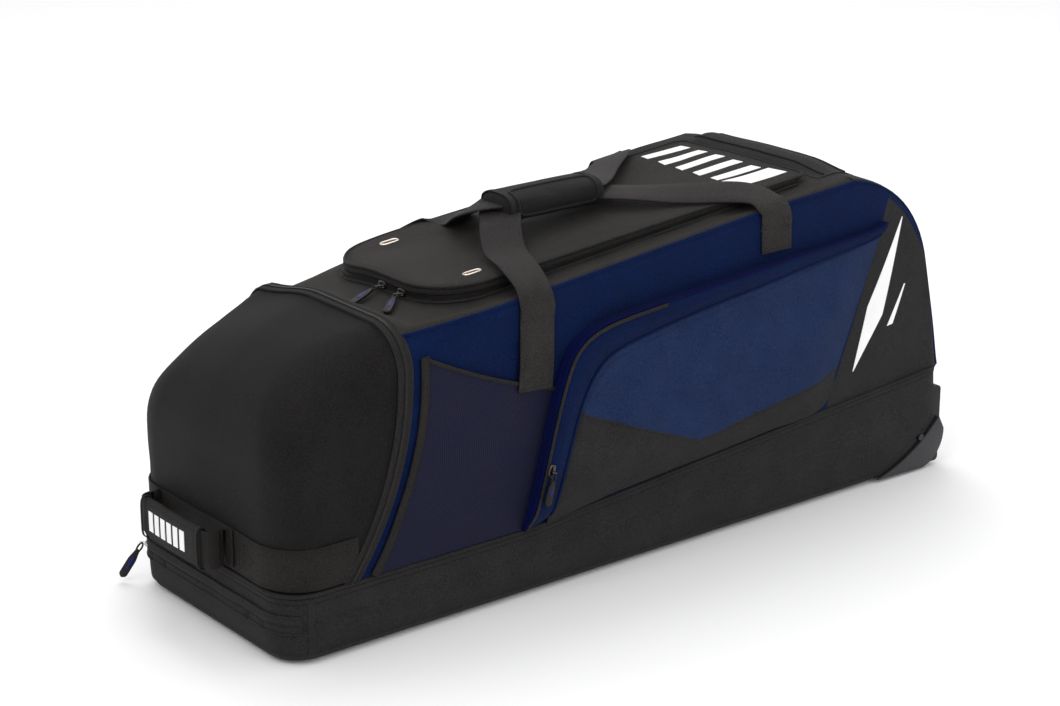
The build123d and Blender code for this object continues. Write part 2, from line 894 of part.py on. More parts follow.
with BuildPart() as handle_wrap:
    with BuildSketch(Plane.YZ.offset(wrap_start_x + wrap_end)):
        with Locations((0, wrap_z)):
            RectangleRounded(wrap_width, wrap_thickness, wrap_thickness / 3)
            RectangleRounded(wrap_width - 2 * wrap_seam, grip_slot, wall / 2, mode=Mode.SUBTRACT)
    extrude(amount=wrap_length - 2 * wrap_end)
save(handle_wrap.part, "handle_wrap")


def make_slider(seat, name):
    """Zip slider: a body on the tape and a bridge that holds the pull. Its plane faces out."""
    with BuildPart() as slider:
        with BuildSketch(seat):
            RectangleRounded(slider_length, slider_width, slider_corner)
        extrude(amount=slider_thickness)
    save(slider.part, name)


def make_pull(seat, length, name):
    """Pull: a cord loop and a moulded grip, lying along its plane's x axis from the pin."""
    with BuildPart() as pull:
        with BuildSketch(seat):
            with Locations((length * pull_neck_share / 2, 0)):
                Rectangle(length * pull_neck_share, pull_thickness)
            with Locations((length * (1 - pull_grip_share / 2), 0)):
                SlotOverall(length * pull_grip_share, pull_width)
        extrude(amount=pull_thickness / 2, both=True)
    save(pull.part, name)


# Lid sliders, side by side where the zip starts round its corner
slider_z = deck_z(lid_front_x) + slider_rise + slider_width / 2
slider_face_x = lid_front_x - slider_gap
straight_half = lid_half_width - lid_corner_radius
slider_b_y = -straight_half
for name, slider_y, turn in (("a", slider_a_offset, pull_a_turn), ("b", slider_b_y, pull_b_turn)):
    seat = Plane(
        origin=(slider_face_x, slider_y, slider_z),
        x_dir=(0, 1, 0),
        z_dir=(-1, 0, 0),
    )
    make_slider(seat, f"lid_slider_{name}")
    pull_x = slider_face_x - slider_thickness - pull_thickness
    heading = radians(180 + turn)
    tilt = atan(deck_slope) + radians(pull_droop)
    pull_seat = Plane(
        origin=(pull_x, slider_y, slider_z),
        x_dir=(cos(heading) * cos(tilt), sin(heading) * cos(tilt), cos(heading) * sin(tilt)),
        z_dir=(-sin(tilt), 0, cos(tilt)),
    )
    make_pull(pull_seat, pull_length, f"lid_pull_{name}")

# Tray slider at the right-hand front corner of the base
corner_x = front_x + base_front_radius
corner_y = half_width - base_front_radius
outward = Vector(-cos(radians(tray_slider_angle)), sin(radians(tray_slider_angle)), 0)
tangent = Vector(sin(radians(tray_slider_angle)), cos(radians(tray_slider_angle)), 0)
tray_seat_at = Vector(corner_x, corner_y, tray_zip_height)
tray_seat_at = tray_seat_at + outward * (base_front_radius + slider_gap)
make_slider(Plane(origin=tray_seat_at, x_dir=tangent, z_dir=outward), "tray_slider")
hang = radians(tray_pull_lean)
tray_pull_dir = outward * sin(hang) + Vector(0, 0, -cos(hang))
tray_pull_at = tray_seat_at + outward * (slider_thickness + pull_thickness)
tray_pull_seat = Plane(origin=tray_pull_at, x_dir=tray_pull_dir, z_dir=tangent)
make_pull(tray_pull_seat, pull_length, "tray_pull")

# Pocket sliders, on the front edge of each side pocket
edge_low = Vector(pocket_points[0][0], 0, pocket_points[0][1])
edge_high = Vector(pocket_points[1][0], 0, pocket_points[1][1])
edge_dir = (edge_high - edge_low).normalized()
edge_inward = Vector(edge_dir.Z, 0, -edge_dir.X)
for name, sign in SIDES:
    middle = edge_low + (edge_high - edge_low) * pocket_slider_share + edge_inward * (slider_width / 2)
    face = half_width + gap + pocket_depth + slider_gap
    seat = Plane(
        origin=(middle.X, sign * face, middle.Z),
        x_dir=edge_dir,
        z_dir=(0, sign, 0),
    )
    make_slider(seat, f"pocket_slider_{name}")
    pull_face = face + slider_thickness + gap + pull_thickness / 2
    pull_seat = Plane(
        origin=(middle.X, sign * pull_face, middle.Z),
        x_dir=edge_dir * -1,
        z_dir=(0, sign, 0),
    )
    make_pull(pull_seat, pull_length * small_pull_share, f"pocket_pull_{name}")

# Rear slider on the rear panel
rear_top_point = Vector(rear_x - rear_foot_of_round, 0, deck_rear_height - rear_round_drop)
rear_low_point = Vector(rear_x - rear_lean, 0, seam_z(rear_x))
rear_dir = (rear_low_point - rear_top_point).normalized()
rear_out = Vector(-rear_dir.Z, 0, rear_dir.X)
rear_seat_at = rear_top_point + rear_dir * (2 * slider_length) + rear_out * slider_gap
rear_seat_at = rear_seat_at + Vector(0, -(inner_half - 2 * slider_length), 0)
make_slider(Plane(origin=rear_seat_at, x_dir=(0, 1, 0), z_dir=rear_out), "rear_slider")
rear_pull_at = rear_seat_at + rear_out * (slider_thickness + gap + pull_thickness / 2)
rear_pull_seat = Plane(origin=rear_pull_at, x_dir=rear_dir, z_dir=rear_out)
make_pull(rear_pull_seat, pull_length * small_pull_share, "rear_pull")
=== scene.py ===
"""Looks of the wheeled equipment bag: sewn skins, padding, webbing, zips and wheels on the fixed frame.

Shapes are worked out in millimetres in the frame's own axes, and become metres in make_mesh.
"""

import json
from math import atan2, cos, hypot, pi, radians, sin, sqrt

import bmesh
import bpy
import numpy as np
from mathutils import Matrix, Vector, noise
from mathutils.bvhtree import BVHTree

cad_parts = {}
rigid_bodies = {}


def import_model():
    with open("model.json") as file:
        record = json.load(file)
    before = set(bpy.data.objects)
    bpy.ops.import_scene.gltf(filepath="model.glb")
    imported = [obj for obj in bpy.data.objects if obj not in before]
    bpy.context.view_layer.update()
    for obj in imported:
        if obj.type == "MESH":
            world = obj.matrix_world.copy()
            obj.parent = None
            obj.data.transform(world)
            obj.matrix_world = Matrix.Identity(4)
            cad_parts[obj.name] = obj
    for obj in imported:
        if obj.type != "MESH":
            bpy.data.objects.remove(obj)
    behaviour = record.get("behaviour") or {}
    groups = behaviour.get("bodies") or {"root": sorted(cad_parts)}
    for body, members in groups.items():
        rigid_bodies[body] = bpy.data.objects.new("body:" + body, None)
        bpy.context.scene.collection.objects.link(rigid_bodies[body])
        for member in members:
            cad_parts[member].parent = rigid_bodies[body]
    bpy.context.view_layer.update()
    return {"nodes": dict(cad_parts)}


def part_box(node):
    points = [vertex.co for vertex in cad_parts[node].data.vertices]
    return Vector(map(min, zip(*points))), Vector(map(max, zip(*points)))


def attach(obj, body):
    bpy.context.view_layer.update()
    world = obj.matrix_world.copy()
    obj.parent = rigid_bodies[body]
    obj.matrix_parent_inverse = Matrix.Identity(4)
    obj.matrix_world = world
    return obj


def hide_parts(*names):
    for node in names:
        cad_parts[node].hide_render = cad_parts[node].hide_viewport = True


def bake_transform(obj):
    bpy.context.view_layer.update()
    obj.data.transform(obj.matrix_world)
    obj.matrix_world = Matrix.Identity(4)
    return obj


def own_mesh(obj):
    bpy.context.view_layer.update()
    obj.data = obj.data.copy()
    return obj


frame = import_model()
nodes = frame["nodes"]
MM = 0.001
SIDES = (("left", -1), ("right", 1))


def span(node):
    """Lowest and highest corner of a CAD node, in millimetres."""
    low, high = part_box(node)
    return low / MM, high / MM


# Sizes read from the frame
tub_low, tub_high = span("base_shell")
arch_low, arch_high = span("arch_zip")
lid_low, lid_high = span("lid_panel")
ridge_low, ridge_high = span("rear_pocket")
band_low, band_high = span("dome_band")
sleeve_low, sleeve_high = span("grab_sleeve")
handle_low, handle_high = span("grab_handle")
wrap_low, wrap_high = span("handle_wrap")
flap_low, flap_high = span("tray_flap")
front_x, rear_x, half_width = tub_low.x, tub_high.x, tub_high.y
floor_gap = tub_low.z
seam_front = arch_low.z - 0.4
seam_rear = tub_high.z + 0.4

# Sizes of the sewn shape
knee_x = front_x + 293
front_corner = 38
rear_corner = 26
arch_width = 12
arch_foot_x = arch_low.x
arch_top_x = arch_high.x - arch_width
arch_top = arch_high.z
arch_middle = Vector((front_x + 124, 0, 181))
deck_front = 313.5
shoulder = Vector((rear_x - 157, 0, 377.5))
shoulder_middle = Vector((rear_x - 85, 0, 344.5))
rear_brow = Vector((rear_x - 38, 0, 262.5))
rear_foot = Vector((rear_x - 4, 0, 128))
rear_pivot = Vector((rear_x - 42, 0, 125))
arch_radius = 45
rear_radius = 12
edge_lift = 1 - sqrt(0.5)
lid_radius = 62
lid_rear_radius = 12
lid_front_rise = 17
lid_rear_rise = 8
lid_zip_share = 0.4
lid_ledge = 14
flap_side = flap_high.y + 1
flap_hinge_z = flap_low.z
tray_zip_z = flap_high.z + 1
gusset_side = half_width - front_corner
webbing = 2.4
strap_width = 44
skin = 2.2
base_skin = 2.0
shell_thickness = 4.0
mark_height = 0.5
bag_middle = (0, 0, 190)
far_above = 500


# ---------------------------------------------------------------- shape rules

def mix(a, b, share):
    """Value or vector part of the way from a to b."""
    return a + (b - a) * share


def smooth(share):
    """Ease from 0 to 1."""
    share = min(max(share, 0.0), 1.0)
    return share * share * (3 - 2 * share)


def steps(start, end, count):
    """Evenly spaced values from start to end, both included."""
    return [mix(start, end, i / count) for i in range(count + 1)]


def arc_through(first, middle, last, count):
    """Points of the circle through three points of the side view."""
    ax, az, bx, bz, cx, cz = first.x, first.z, middle.x, middle.z, last.x, last.z
    d = 2 * (ax * (bz - cz) + bx * (cz - az) + cx * (az - bz))
    a2, b2, c2 = ax * ax + az * az, bx * bx + bz * bz, cx * cx + cz * cz
    ux = (a2 * (bz - cz) + b2 * (cz - az) + c2 * (az - bz)) / d
    uz = (a2 * (cx - bx) + b2 * (ax - cx) + c2 * (bx - ax)) / d
    radius = hypot(ax - ux, az - uz)
    turns = [atan2(p.z - uz, p.x - ux) for p in (first, middle, last)]
    for k in (1, 2):
        while turns[k] - turns[k - 1] > pi:
            turns[k] -= 2 * pi
        while turns[k] - turns[k - 1] < -pi:
            turns[k] += 2 * pi
    return [
        Vector((ux + radius * cos(t), 0, uz + radius * sin(t)))
        for t in steps(turns[0], turns[2], count)
    ]


arch_line = arc_through(
    Vector((arch_foot_x, 0, seam_front)), arch_middle, Vector((arch_top_x, 0, arch_top)), 48
)


def arch_x(z):
    """Place of the arch line at a height."""
    for low, high in zip(arch_line, arch_line[1:]):
        if z <= high.z:
            return mix(low.x, high.x, (z - low.z) / (high.z - low.z))
    return arch_line[-1].x


def seam_z(x):
    """Height of the seam between base and body."""
    return seam_front + max(0.0, x - knee_x) * (seam_rear - seam_front) / (rear_x - knee_x)


def deck_z(x):
    """Height of the body's top seams."""
    return mix(deck_front, shoulder.z, (x - arch_top_x) / (shoulder.x - arch_top_x))


def deck_share(x):
    """How far a place lies from the arch to the shoulder."""
    return min(max((x - arch_top_x) / (shoulder.x - arch_top_x), 0.0), 1.0)


def edge_radius(x):
    """Rounding between side and top, wide at the arch and tight at the rear."""
    return mix(arch_radius, rear_radius, smooth(deck_share(x) / 0.22))


def top_z(x, y):
    """Height of the top panel, with its rounded sides."""
    radius = edge_radius(x)
    height = deck_z(x) + edge_lift * radius * (1 - smooth((deck_share(x) - 0.8) / 0.2))
    height += 1.3 * (1 - smooth(deck_share(x) / 0.1))
    over = abs(y) - (half_width - radius)
    if over > 0:
        height -= radius - sqrt(max(radius * radius - over * over, 0.0))
    return height


def lid_z(x):
    """Height of the lid's upper edge."""
    along = (x - lid_low.x) / (lid_high.x - lid_low.x)
    return deck_z(x) + mix(lid_front_rise, lid_rear_rise, along)


def lid_zip_z(x):
    """Height of the lid's zip."""
    return mix(deck_z(x), lid_z(x), lid_zip_share)


def ripple(point, size, height, seed=0.0):
    """Soft unevenness of cloth at a point."""
    spot = Vector(point) / size + Vector((seed, seed * 1.7, seed * 0.3))
    return noise.noise(spot) * height


def side_out(x, z):
    """Distance of the body's side from the middle plane, a little stuffed between its seams."""
    low, high = seam_z(x), deck_z(x)
    lift = min(max((z - low) / max(high - low, 1.0), 0.0), 1.0)
    swell = 3.5 * sin(pi * lift) * smooth((x - arch_foot_x) / 160) * smooth((rear_x - x) / 120)
    return half_width + swell + ripple((x, 0, z), 95, 1.6, 3.0) * sin(pi * lift)


# ---------------------------------------------------------------- meshes

def make_mesh(name, points, faces, coords=None):
    """Mesh object from points in millimetres, with flat coordinates in metres for the weave."""
    mesh = bpy.data.meshes.new(name)
    mesh.from_pydata([tuple(Vector(p) * MM) for p in points], [], faces)
    if coords:
        layer = mesh.uv_layers.new(name="cloth")
        for loop in mesh.loops:
            u, v = coords[loop.vertex_index]
            layer.data[loop.index].uv = (u * MM, v * MM)
    mesh.shade_smooth()
    piece = bpy.data.objects.new(name, mesh)
    bpy.context.scene.collection.objects.link(piece)
    return piece


def tidy(piece, recalculate=False):
    """Merge doubled points, drop faces with no area and, on a closed shape, turn faces outwards."""
    bm = bmesh.new()
    bm.from_mesh(piece.data)
    bmesh.ops.remove_doubles(bm, verts=bm.verts, dist=0.00002)
    bmesh.ops.dissolve_degenerate(bm, edges=bm.edges, dist=0.00001)
    if recalculate:
        bmesh.ops.recalc_face_normals(bm, faces=bm.faces)
    bm.to_mesh(piece.data)
    bm.free()
    return piece


def face_out(piece, centre):
    """Turn an open skin's faces away from a point inside the bag."""
    inside = Vector(centre) * MM
    total = sum(f.normal.dot(f.center - inside) * f.area for f in piece.data.polygons)
    if total < 0:
        piece.data.flip_normals()
    return piece


def grid_piece(name, grid, loop_columns=False):
    """Skin from rows of points."""
    rows, columns = len(grid), len(grid[0])
    along = [[0.0] * columns for _ in grid]
    up = [[0.0] * columns for _ in grid]
    for i in range(rows):
        for j in range(columns):
            if j:
                along[i][j] = along[i][j - 1] + (Vector(grid[i][j]) - Vector(grid[i][j - 1])).length
            if i:
                up[i][j] = up[i - 1][j] + (Vector(grid[i][j]) - Vector(grid[i - 1][j])).length
    coords = [(along[i][j], up[i][j]) for i in range(rows) for j in range(columns)]
    faces = []
    for i in range(rows - 1):
        for j in range(columns if loop_columns else columns - 1):
            a, b = i * columns + j, i * columns + (j + 1) % columns
            faces.append((a, b, b + columns, a + columns))
    return make_mesh(name, [p for line in grid for p in line], faces, coords)


def settle(piece):
    """Turn a piece's modifiers into its mesh."""
    bpy.context.view_layer.update()
    graph = bpy.context.evaluated_depsgraph_get()
    mesh = bpy.data.meshes.new_from_object(piece.evaluated_get(graph), depsgraph=graph)
    piece.modifiers.clear()
    old = piece.data
    piece.data = mesh
    bpy.data.meshes.remove(old)
    mesh.name = piece.name
    return piece


def thicken(piece, thickness, lining=None, smoothing=0):
    """Give a skin its thickness inwards, with a lining on the inner face."""
    solid = piece.modifiers.new("thickness", "SOLIDIFY")
    solid.thickness = thickness * MM
    solid.offset = -1
    if lining:
        piece.data.materials.append(lining)
        solid.material_offset = len(piece.data.materials) - 1
    if smoothing:
        rounder = piece.modifiers.new("rounding", "SUBSURF")
        rounder.levels = rounder.render_levels = smoothing
    settle(piece)
    piece.data.set_sharp_from_angle(angle=radians(60))
    return piece


def cut_along(piece, *line):
    """Cut a side skin's faces along a line of the side view, so that cloth panels meet there."""
    bm = bmesh.new()
    bm.from_mesh(piece.data)
    for (ax, az), (bx, bz) in zip(line, line[1:]):
        normal = Vector((bz - az, 0, ax - bx)).normalized()
        spot = Vector((ax * MM, 0, az * MM))
        low, high = min(ax, bx) * MM - 0.03, max(ax, bx) * MM + 0.03
        near = [f for f in bm.faces if low < f.calc_center_median().x < high]
        edges = {e for f in near for e in f.edges}
        verts = {v for f in near for v in f.verts}
        bmesh.ops.bisect_plane(
            bm, geom=list(near) + list(edges) + list(verts), plane_co=spot, plane_no=normal, dist=1e-6
        )
    bm.to_mesh(piece.data)
    bm.free()
    return piece


def paint(piece, finish, test=None):
    """Give a material to the whole piece, or to the faces whose centre passes the test."""
    piece.data.materials.append(finish)
    index = len(piece.data.materials) - 1
    if test:
        for face in piece.data.polygons:
            if test(face.center / MM):
                face.material_index = index
    return piece


def swept(name, path, ups, profile, loop=False):
    """Closed strip whose profile, in across and up, follows a path."""
    path = [Vector(p) for p in path]
    count = len(path)
    ups = [Vector(u) for u in ups] if isinstance(ups, list) else [Vector(ups)] * count
    points, coords, run = [], [], 0.0
    for i, spot in enumerate(path):
        before = path[i - 1] if (i or loop) else path[i]
        after = path[(i + 1) % count] if (i + 1 < count or loop) else path[i]
        ahead = (after - before).normalized()
        across = ahead.cross(ups[i]).normalized()
        up = across.cross(ahead).normalized()
        if i:
            run += (spot - path[i - 1]).length
        girth = 0.0
        for k, (side, rise) in enumerate(profile):
            if k:
                girth += hypot(side - profile[k - 1][0], rise - profile[k - 1][1])
            points.append(spot + across * side + up * rise)
            coords.append((run, girth))
    size = len(profile)
    faces = ring_faces(count, size, loop)
    if not loop:
        faces.append(tuple(range(size)))
        faces.append(tuple((count - 1) * size + k for k in reversed(range(size))))
    return tidy(make_mesh(name, points, faces, coords), recalculate=True)


def ring_faces(rings, size, closed=False):
    """Four-cornered faces between equal rings of points, the last joined to the first if closed."""
    faces = []
    for i in range(rings if closed else rings - 1):
        for k in range(size):
            a, b = i * size + k, i * size + (k + 1) % size
            c, d = (i + 1) % rings * size + (k + 1) % size, (i + 1) % rings * size + k
            faces.append((a, b, c, d))
    return faces


def flat_profile(width, thickness, rise=0.0):
    """Webbing or tape: a flat strip with soft edges."""
    half, soft = width / 2, thickness * 0.35
    return [
        (-half, rise + soft), (-half + soft, rise), (half - soft, rise), (half, rise + soft),
        (half, rise + thickness - soft), (half - soft, rise + thickness),
        (half / 3, rise + thickness * 1.04), (-half / 3, rise + thickness * 1.04),
        (-half + soft, rise + thickness), (-half, rise + thickness - soft),
    ]


def round_profile(radius, count=8, rise=0.0):
    """Cord or piping."""
    return [
        (radius * cos(2 * pi * k / count), rise + radius * sin(2 * pi * k / count))
        for k in range(count)
    ]


def even(path, pitch):
    """The same path with points about one pitch apart."""
    path = [Vector(p) for p in path]
    result = [path[0]]
    for start, end in zip(path, path[1:]):
        count = max(1, round((end - start).length / pitch))
        result += [mix(start, end, i / count) for i in range(1, count + 1)]
    return result


def soft_path(path, count):
    """Smooth curve through a few points."""
    path = [Vector(p) for p in path]
    ends = [path[0] * 2 - path[1]] + path + [path[-1] * 2 - path[-2]]
    result = []
    for i in range(len(path) - 1):
        a, b, c, d = ends[i:i + 4]
        for k in range(count):
            t = k / count
            result.append(
                0.5 * ((2 * b) + (c - a) * t + (2 * a - 5 * b + 4 * c - d) * t * t
                       + (3 * b - a - 3 * c + d) * t ** 3)
            )
    return result + [path[-1]]


def joined(name, parts):
    """Several meshes made one piece."""
    bm = bmesh.new()
    finishes = []
    for part in parts:
        start = len(bm.faces)
        bm.from_mesh(part.data)
        bm.faces.ensure_lookup_table()
        places = []
        for finish in part.data.materials:
            if finish not in finishes:
                finishes.append(finish)
            places.append(finishes.index(finish))
        for face in bm.faces[start:]:
            face.material_index = places[face.material_index] if places else 0
    for part in parts:
        bpy.data.objects.remove(part)
    mesh = bpy.data.meshes.new(name)
    bm.to_mesh(mesh)
    bm.free()
    for finish in finishes:
        mesh.materials.append(finish)
    piece = bpy.data.objects.new(name, mesh)
    bpy.context.scene.collection.objects.link(piece)
    return piece


def place(piece, body, slot, *replaced):
    """Fasten a finished piece to its body, and hide the CAD parts it replaces."""
    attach(piece, body)
    if replaced:
        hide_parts(*replaced)
    return piece


def strip(path, ways, profile, finish, loop=False):
    """Painted strip along a path, to be joined into a piece."""
    return paint(swept("strip", path, ways, profile, loop), finish)


def sewn(name, grid, finish, centre, thickness=skin):
    """Painted and lined cloth skin from rows of points, facing away from a point inside."""
    piece = tidy(grid_piece(name, grid))
    face_out(piece, centre)
    paint(piece, finish)
    return thicken(piece, thickness, lining)


def stacked(name, rings, finish):
    """Closed body through equal rings of points."""
    size = len(rings[0])
    faces = ring_faces(len(rings), size)
    faces.append(tuple(range(size)))
    faces.append(tuple((len(rings) - 1) * size + k for k in range(size)))
    points = [p for ring in rings for p in ring]
    return paint(tidy(make_mesh(name, points, faces), recalculate=True), finish)


def soft_box(count, width, height, width_power, height_power):
    """Profile between a rectangle and an oval."""
    profile = []
    for k in range(count):
        c, s = cos(2 * pi * k / count), sin(2 * pi * k / count)
        wide = abs(c) ** width_power * (1 if c > 0 else -1)
        high = abs(s) ** height_power * (1 if s > 0 else -1)
        profile.append((wide * width / 2, high * height / 2))
    return profile


def middle_of(node):
    """Middle of a CAD node, in millimetres."""
    low, high = span(node)
    return (low + high) / 2


def mesh_tree(piece):
    """Ray target of a finished piece, in millimetres."""
    return BVHTree.FromPolygons(
        [v.co / MM for v in piece.data.vertices], [tuple(f.vertices) for f in piece.data.polygons]
    )


def on_surface(tree, start, direction, lift):
    """Where a ray meets a surface, lifted back towards its start."""
    direction = Vector(direction).normalized()
    hit = tree.ray_cast(Vector(start), direction)[0]
    if hit is None:
        return Vector(start)
    return hit - direction * lift


# ---------------------------------------------------------------- materials

def new_finish(name):
    """Empty material and its shader."""
    finish = bpy.data.materials.new(name)
    finish.use_nodes = True
    return finish, finish.node_tree, finish.node_tree.nodes["Principled BSDF"]


def add_node(tree, kind, **inputs):
    """Node with its plain inputs set by name."""
    node = tree.nodes.new(kind)
    for key, value in inputs.items():
        node.inputs[key.replace("_", " ")].default_value = value
    return node


def math_node(tree, operation, first, second=None):
    """Math node on links or numbers."""
    node = tree.nodes.new("ShaderNodeMath")
    node.operation = operation
    for socket, value in zip(node.inputs, (first, second)):
        if value is None:
            continue
        if isinstance(value, (int, float)):
            socket.default_value = value
        else:
            tree.links.new(value, socket)
    return node.outputs[0]


def grain(tree, scale, detail=3.0, roughness=0.55):
    """Noise on the piece's own coordinates."""
    place_node = tree.nodes.new("ShaderNodeTexCoord")
    texture = add_node(tree, "ShaderNodeTexNoise", Scale=scale, Detail=detail, Roughness=roughness)
    tree.links.new(place_node.outputs["Object"], texture.inputs["Vector"])
    return texture.outputs["Fac"]


def two_tone(tree, shader, factor, dark, light):
    """Base colour between two tones."""
    blend = tree.nodes.new("ShaderNodeMix")
    blend.data_type = "RGBA"
    tree.links.new(factor, blend.inputs["Factor"])
    blend.inputs[6].default_value = (*dark, 1)
    blend.inputs[7].default_value = (*light, 1)
    tree.links.new(blend.outputs[2], shader.inputs["Base Color"])


def ranged(tree, value, low, high):
    """Map 0..1 to a range."""
    node = tree.nodes.new("ShaderNodeMapRange")
    tree.links.new(value, node.inputs["Value"])
    node.inputs["To Min"].default_value = low
    node.inputs["To Max"].default_value = high
    return node.outputs["Result"]


def bumped(tree, shader, height, strength, distance):
    """Surface relief."""
    bump = add_node(tree, "ShaderNodeBump", Strength=strength, Distance=distance)
    tree.links.new(height, bump.inputs["Height"])
    tree.links.new(bump.outputs["Normal"], shader.inputs["Normal"])


def flat_place(tree):
    """Flat coordinates of the cloth."""
    flat = tree.nodes.new("ShaderNodeUVMap")
    flat.uv_map = "cloth"
    return flat.outputs["UV"]


def weave(tree, spot, pitch_u, pitch_v):
    """Over-and-under relief of a plain weave on flat coordinates."""
    parts = tree.nodes.new("ShaderNodeSeparateXYZ")
    tree.links.new(spot, parts.inputs[0])
    waves = [
        math_node(tree, "SINE", math_node(tree, "MULTIPLY", parts.outputs[axis], 2 * pi / pitch))
        for axis, pitch in enumerate((pitch_u, pitch_v))
    ]
    return math_node(tree, "MULTIPLY", *waves)


def tone(red, green, blue):
    """Colour from display values."""
    values = []
    for level in (red, green, blue):
        level /= 255
        values.append(level / 12.92 if level <= 0.04045 else ((level + 0.055) / 1.055) ** 2.4)
    return tuple(values)


def cloth(name, dark, light, pitch=(0.0013, 0.0013), rough=(0.62, 0.82), relief=0.25, shine=0.14):
    """Woven cloth: yarns, mottling where it has been handled, and a soft sheen."""
    finish, tree, shader = new_finish(name)
    yarn = weave(tree, flat_place(tree), *pitch)
    mottle = grain(tree, 26.0, 4.0)
    fleck = grain(tree, 620.0, 2.0)
    shade = math_node(tree, "MULTIPLY", math_node(tree, "SUBTRACT", fleck, 0.5), 2.4)
    mixed = math_node(tree, "ADD", shade, mottle)
    mixed = math_node(tree, "ADD", mixed, math_node(tree, "MULTIPLY", yarn, 0.22))
    two_tone(tree, shader, mixed, dark, light)
    tree.links.new(ranged(tree, mottle, *rough), shader.inputs["Roughness"])
    height = math_node(tree, "ADD", yarn, math_node(tree, "MULTIPLY", fleck, 0.8))
    bumped(tree, shader, height, min(relief * 2.2, 1.0), 0.0005)
    shader.inputs["Sheen Weight"].default_value = 0.02
    shader.inputs["Sheen Roughness"].default_value = 0.45
    shader.inputs["Specular IOR Level"].default_value = shine
    return finish


def netting(name, thread, ground):
    """Knitted mesh over a dark ground: small round openings in slanted rows."""
    finish, tree, shader = new_finish(name)
    turn = tree.nodes.new("ShaderNodeMapping")
    turn.inputs["Rotation"].default_value = (0, 0, radians(32))
    tree.links.new(flat_place(tree), turn.inputs["Vector"])
    pitch = 0.0034
    hole = weave(tree, turn.outputs[0], pitch, pitch)
    cover = ranged(tree, hole, 0.1, 1.0)
    mottle = grain(tree, 30.0)
    shade = math_node(tree, "MULTIPLY", cover, math_node(tree, "ADD", mottle, 0.5))
    two_tone(tree, shader, shade, ground, thread)
    tree.links.new(ranged(tree, mottle, 0.55, 0.75), shader.inputs["Roughness"])
    bumped(tree, shader, hole, 0.35, 0.0004)
    shader.inputs["Specular IOR Level"].default_value = 0.1
    return finish


def moulded(name, dark, light, rough=(0.4, 0.6), scale=500.0, relief=0.15, metal=0.0, coat=0.0):
    """Moulded plastic, rubber or metal, with grain, handling marks and small scratches."""
    finish, tree, shader = new_finish(name)
    wear = grain(tree, 35.0, 5.0)
    fine = grain(tree, scale, 2.0)
    two_tone(tree, shader, wear, dark, light)
    tree.links.new(ranged(tree, wear, *rough), shader.inputs["Roughness"])
    bumped(tree, shader, fine, relief, 0.0003)
    shader.inputs["Metallic"].default_value = metal
    shader.inputs["Coat Weight"].default_value = coat
    if not metal:
        shader.inputs["Specular IOR Level"].default_value = 0.25
    return finish


charcoal = cloth("charcoal_cloth", tone(20, 19, 19), tone(44, 42, 42))
dome_cloth = cloth(
    "dome_cloth", tone(15, 14, 14), tone(31, 29, 29), pitch=(0.0009, 0.0009), rough=(0.55, 0.72),
    relief=0.2, shine=0.09,
)
# Lighter copy of the charcoal cloth for the top panel and lid: painted highlight of the light falling on the
# bag's top.
deck_painted_highlight_cloth = cloth("deck_painted_highlight_cloth", tone(24, 22, 21), tone(46, 43, 41))
navy = cloth("navy_cloth", tone(0, 13, 46), tone(6, 28, 70), shine=0.06)
panel_blue = cloth("panel_blue_cloth", tone(18, 33, 64), tone(34, 50, 86), shine=0.06)
deep_blue = cloth("deep_blue_cloth", tone(0, 5, 46), tone(2, 12, 72), shine=0.05)
lining = cloth("lining_cloth", tone(42, 42, 46), tone(66, 66, 70), pitch=(0.002, 0.002))
webbing_cloth = cloth(
    "webbing_cloth", tone(28, 26, 26), tone(54, 51, 50), pitch=(0.0022, 0.0034), rough=(0.55, 0.75),
    relief=0.6,
)
band_cloth = cloth(
    "band_cloth", tone(20, 18, 17), tone(40, 37, 35), pitch=(0.0030, 0.0021), rough=(0.55, 0.75), relief=0.6
)
binding_cloth = cloth(
    "binding_cloth", tone(22, 20, 19), tone(46, 43, 41), pitch=(0.0016, 0.0022), relief=0.45
)
tape_cloth = cloth("tape_cloth", tone(23, 22, 22), tone(48, 46, 45), pitch=(0.0011, 0.0016), relief=0.4)
padding_cloth = cloth("padding_cloth", tone(17, 17, 17), tone(34, 33, 33), pitch=(0.0016, 0.0016))
mesh_cloth = netting("mesh_cloth", tone(42, 40, 45), tone(7, 11, 42))
thread_black = moulded("black_thread", tone(15, 14, 14), tone(34, 32, 31), rough=(0.6, 0.8))
thread_blue = moulded("blue_thread", tone(1, 6, 34), tone(8, 20, 60), rough=(0.6, 0.8))
coil_nylon = moulded("coil_nylon", tone(16, 15, 15), tone(42, 40, 38), rough=(0.35, 0.5))
white_print = moulded("white_print", tone(226, 226, 226), tone(246, 246, 246), rough=(0.45, 0.6), relief=0.3)
guard_plastic = moulded("guard_plastic", tone(42, 40, 43), tone(62, 60, 63), rough=(0.38, 0.55), relief=0.3)
housing_plastic = moulded("housing_plastic", tone(12, 12, 12), tone(28, 27, 28), rough=(0.4, 0.6), relief=0.3)
tyre_rubber = moulded("tyre_rubber", tone(14, 14, 14), tone(32, 31, 30), rough=(0.65, 0.85), relief=0.4)
hub_plastic = moulded("hub_plastic", tone(34, 34, 36), tone(60, 60, 62), rough=(0.35, 0.5))
board_plastic = moulded("board_plastic", tone(22, 22, 24), tone(44, 43, 44), rough=(0.5, 0.7), scale=260.0)
foot_rubber = moulded("foot_rubber", tone(16, 16, 16), tone(36, 35, 34), rough=(0.6, 0.8))
steel = moulded("steel", tone(150, 150, 152), tone(205, 205, 207), rough=(0.2, 0.42), metal=1.0)
black_steel = moulded("black_steel", tone(30, 30, 31), tone(48, 47, 47), rough=(0.32, 0.5))
gunmetal = moulded("gunmetal", tone(38, 37, 36), tone(105, 102, 99), rough=(0.22, 0.4), metal=1.0)
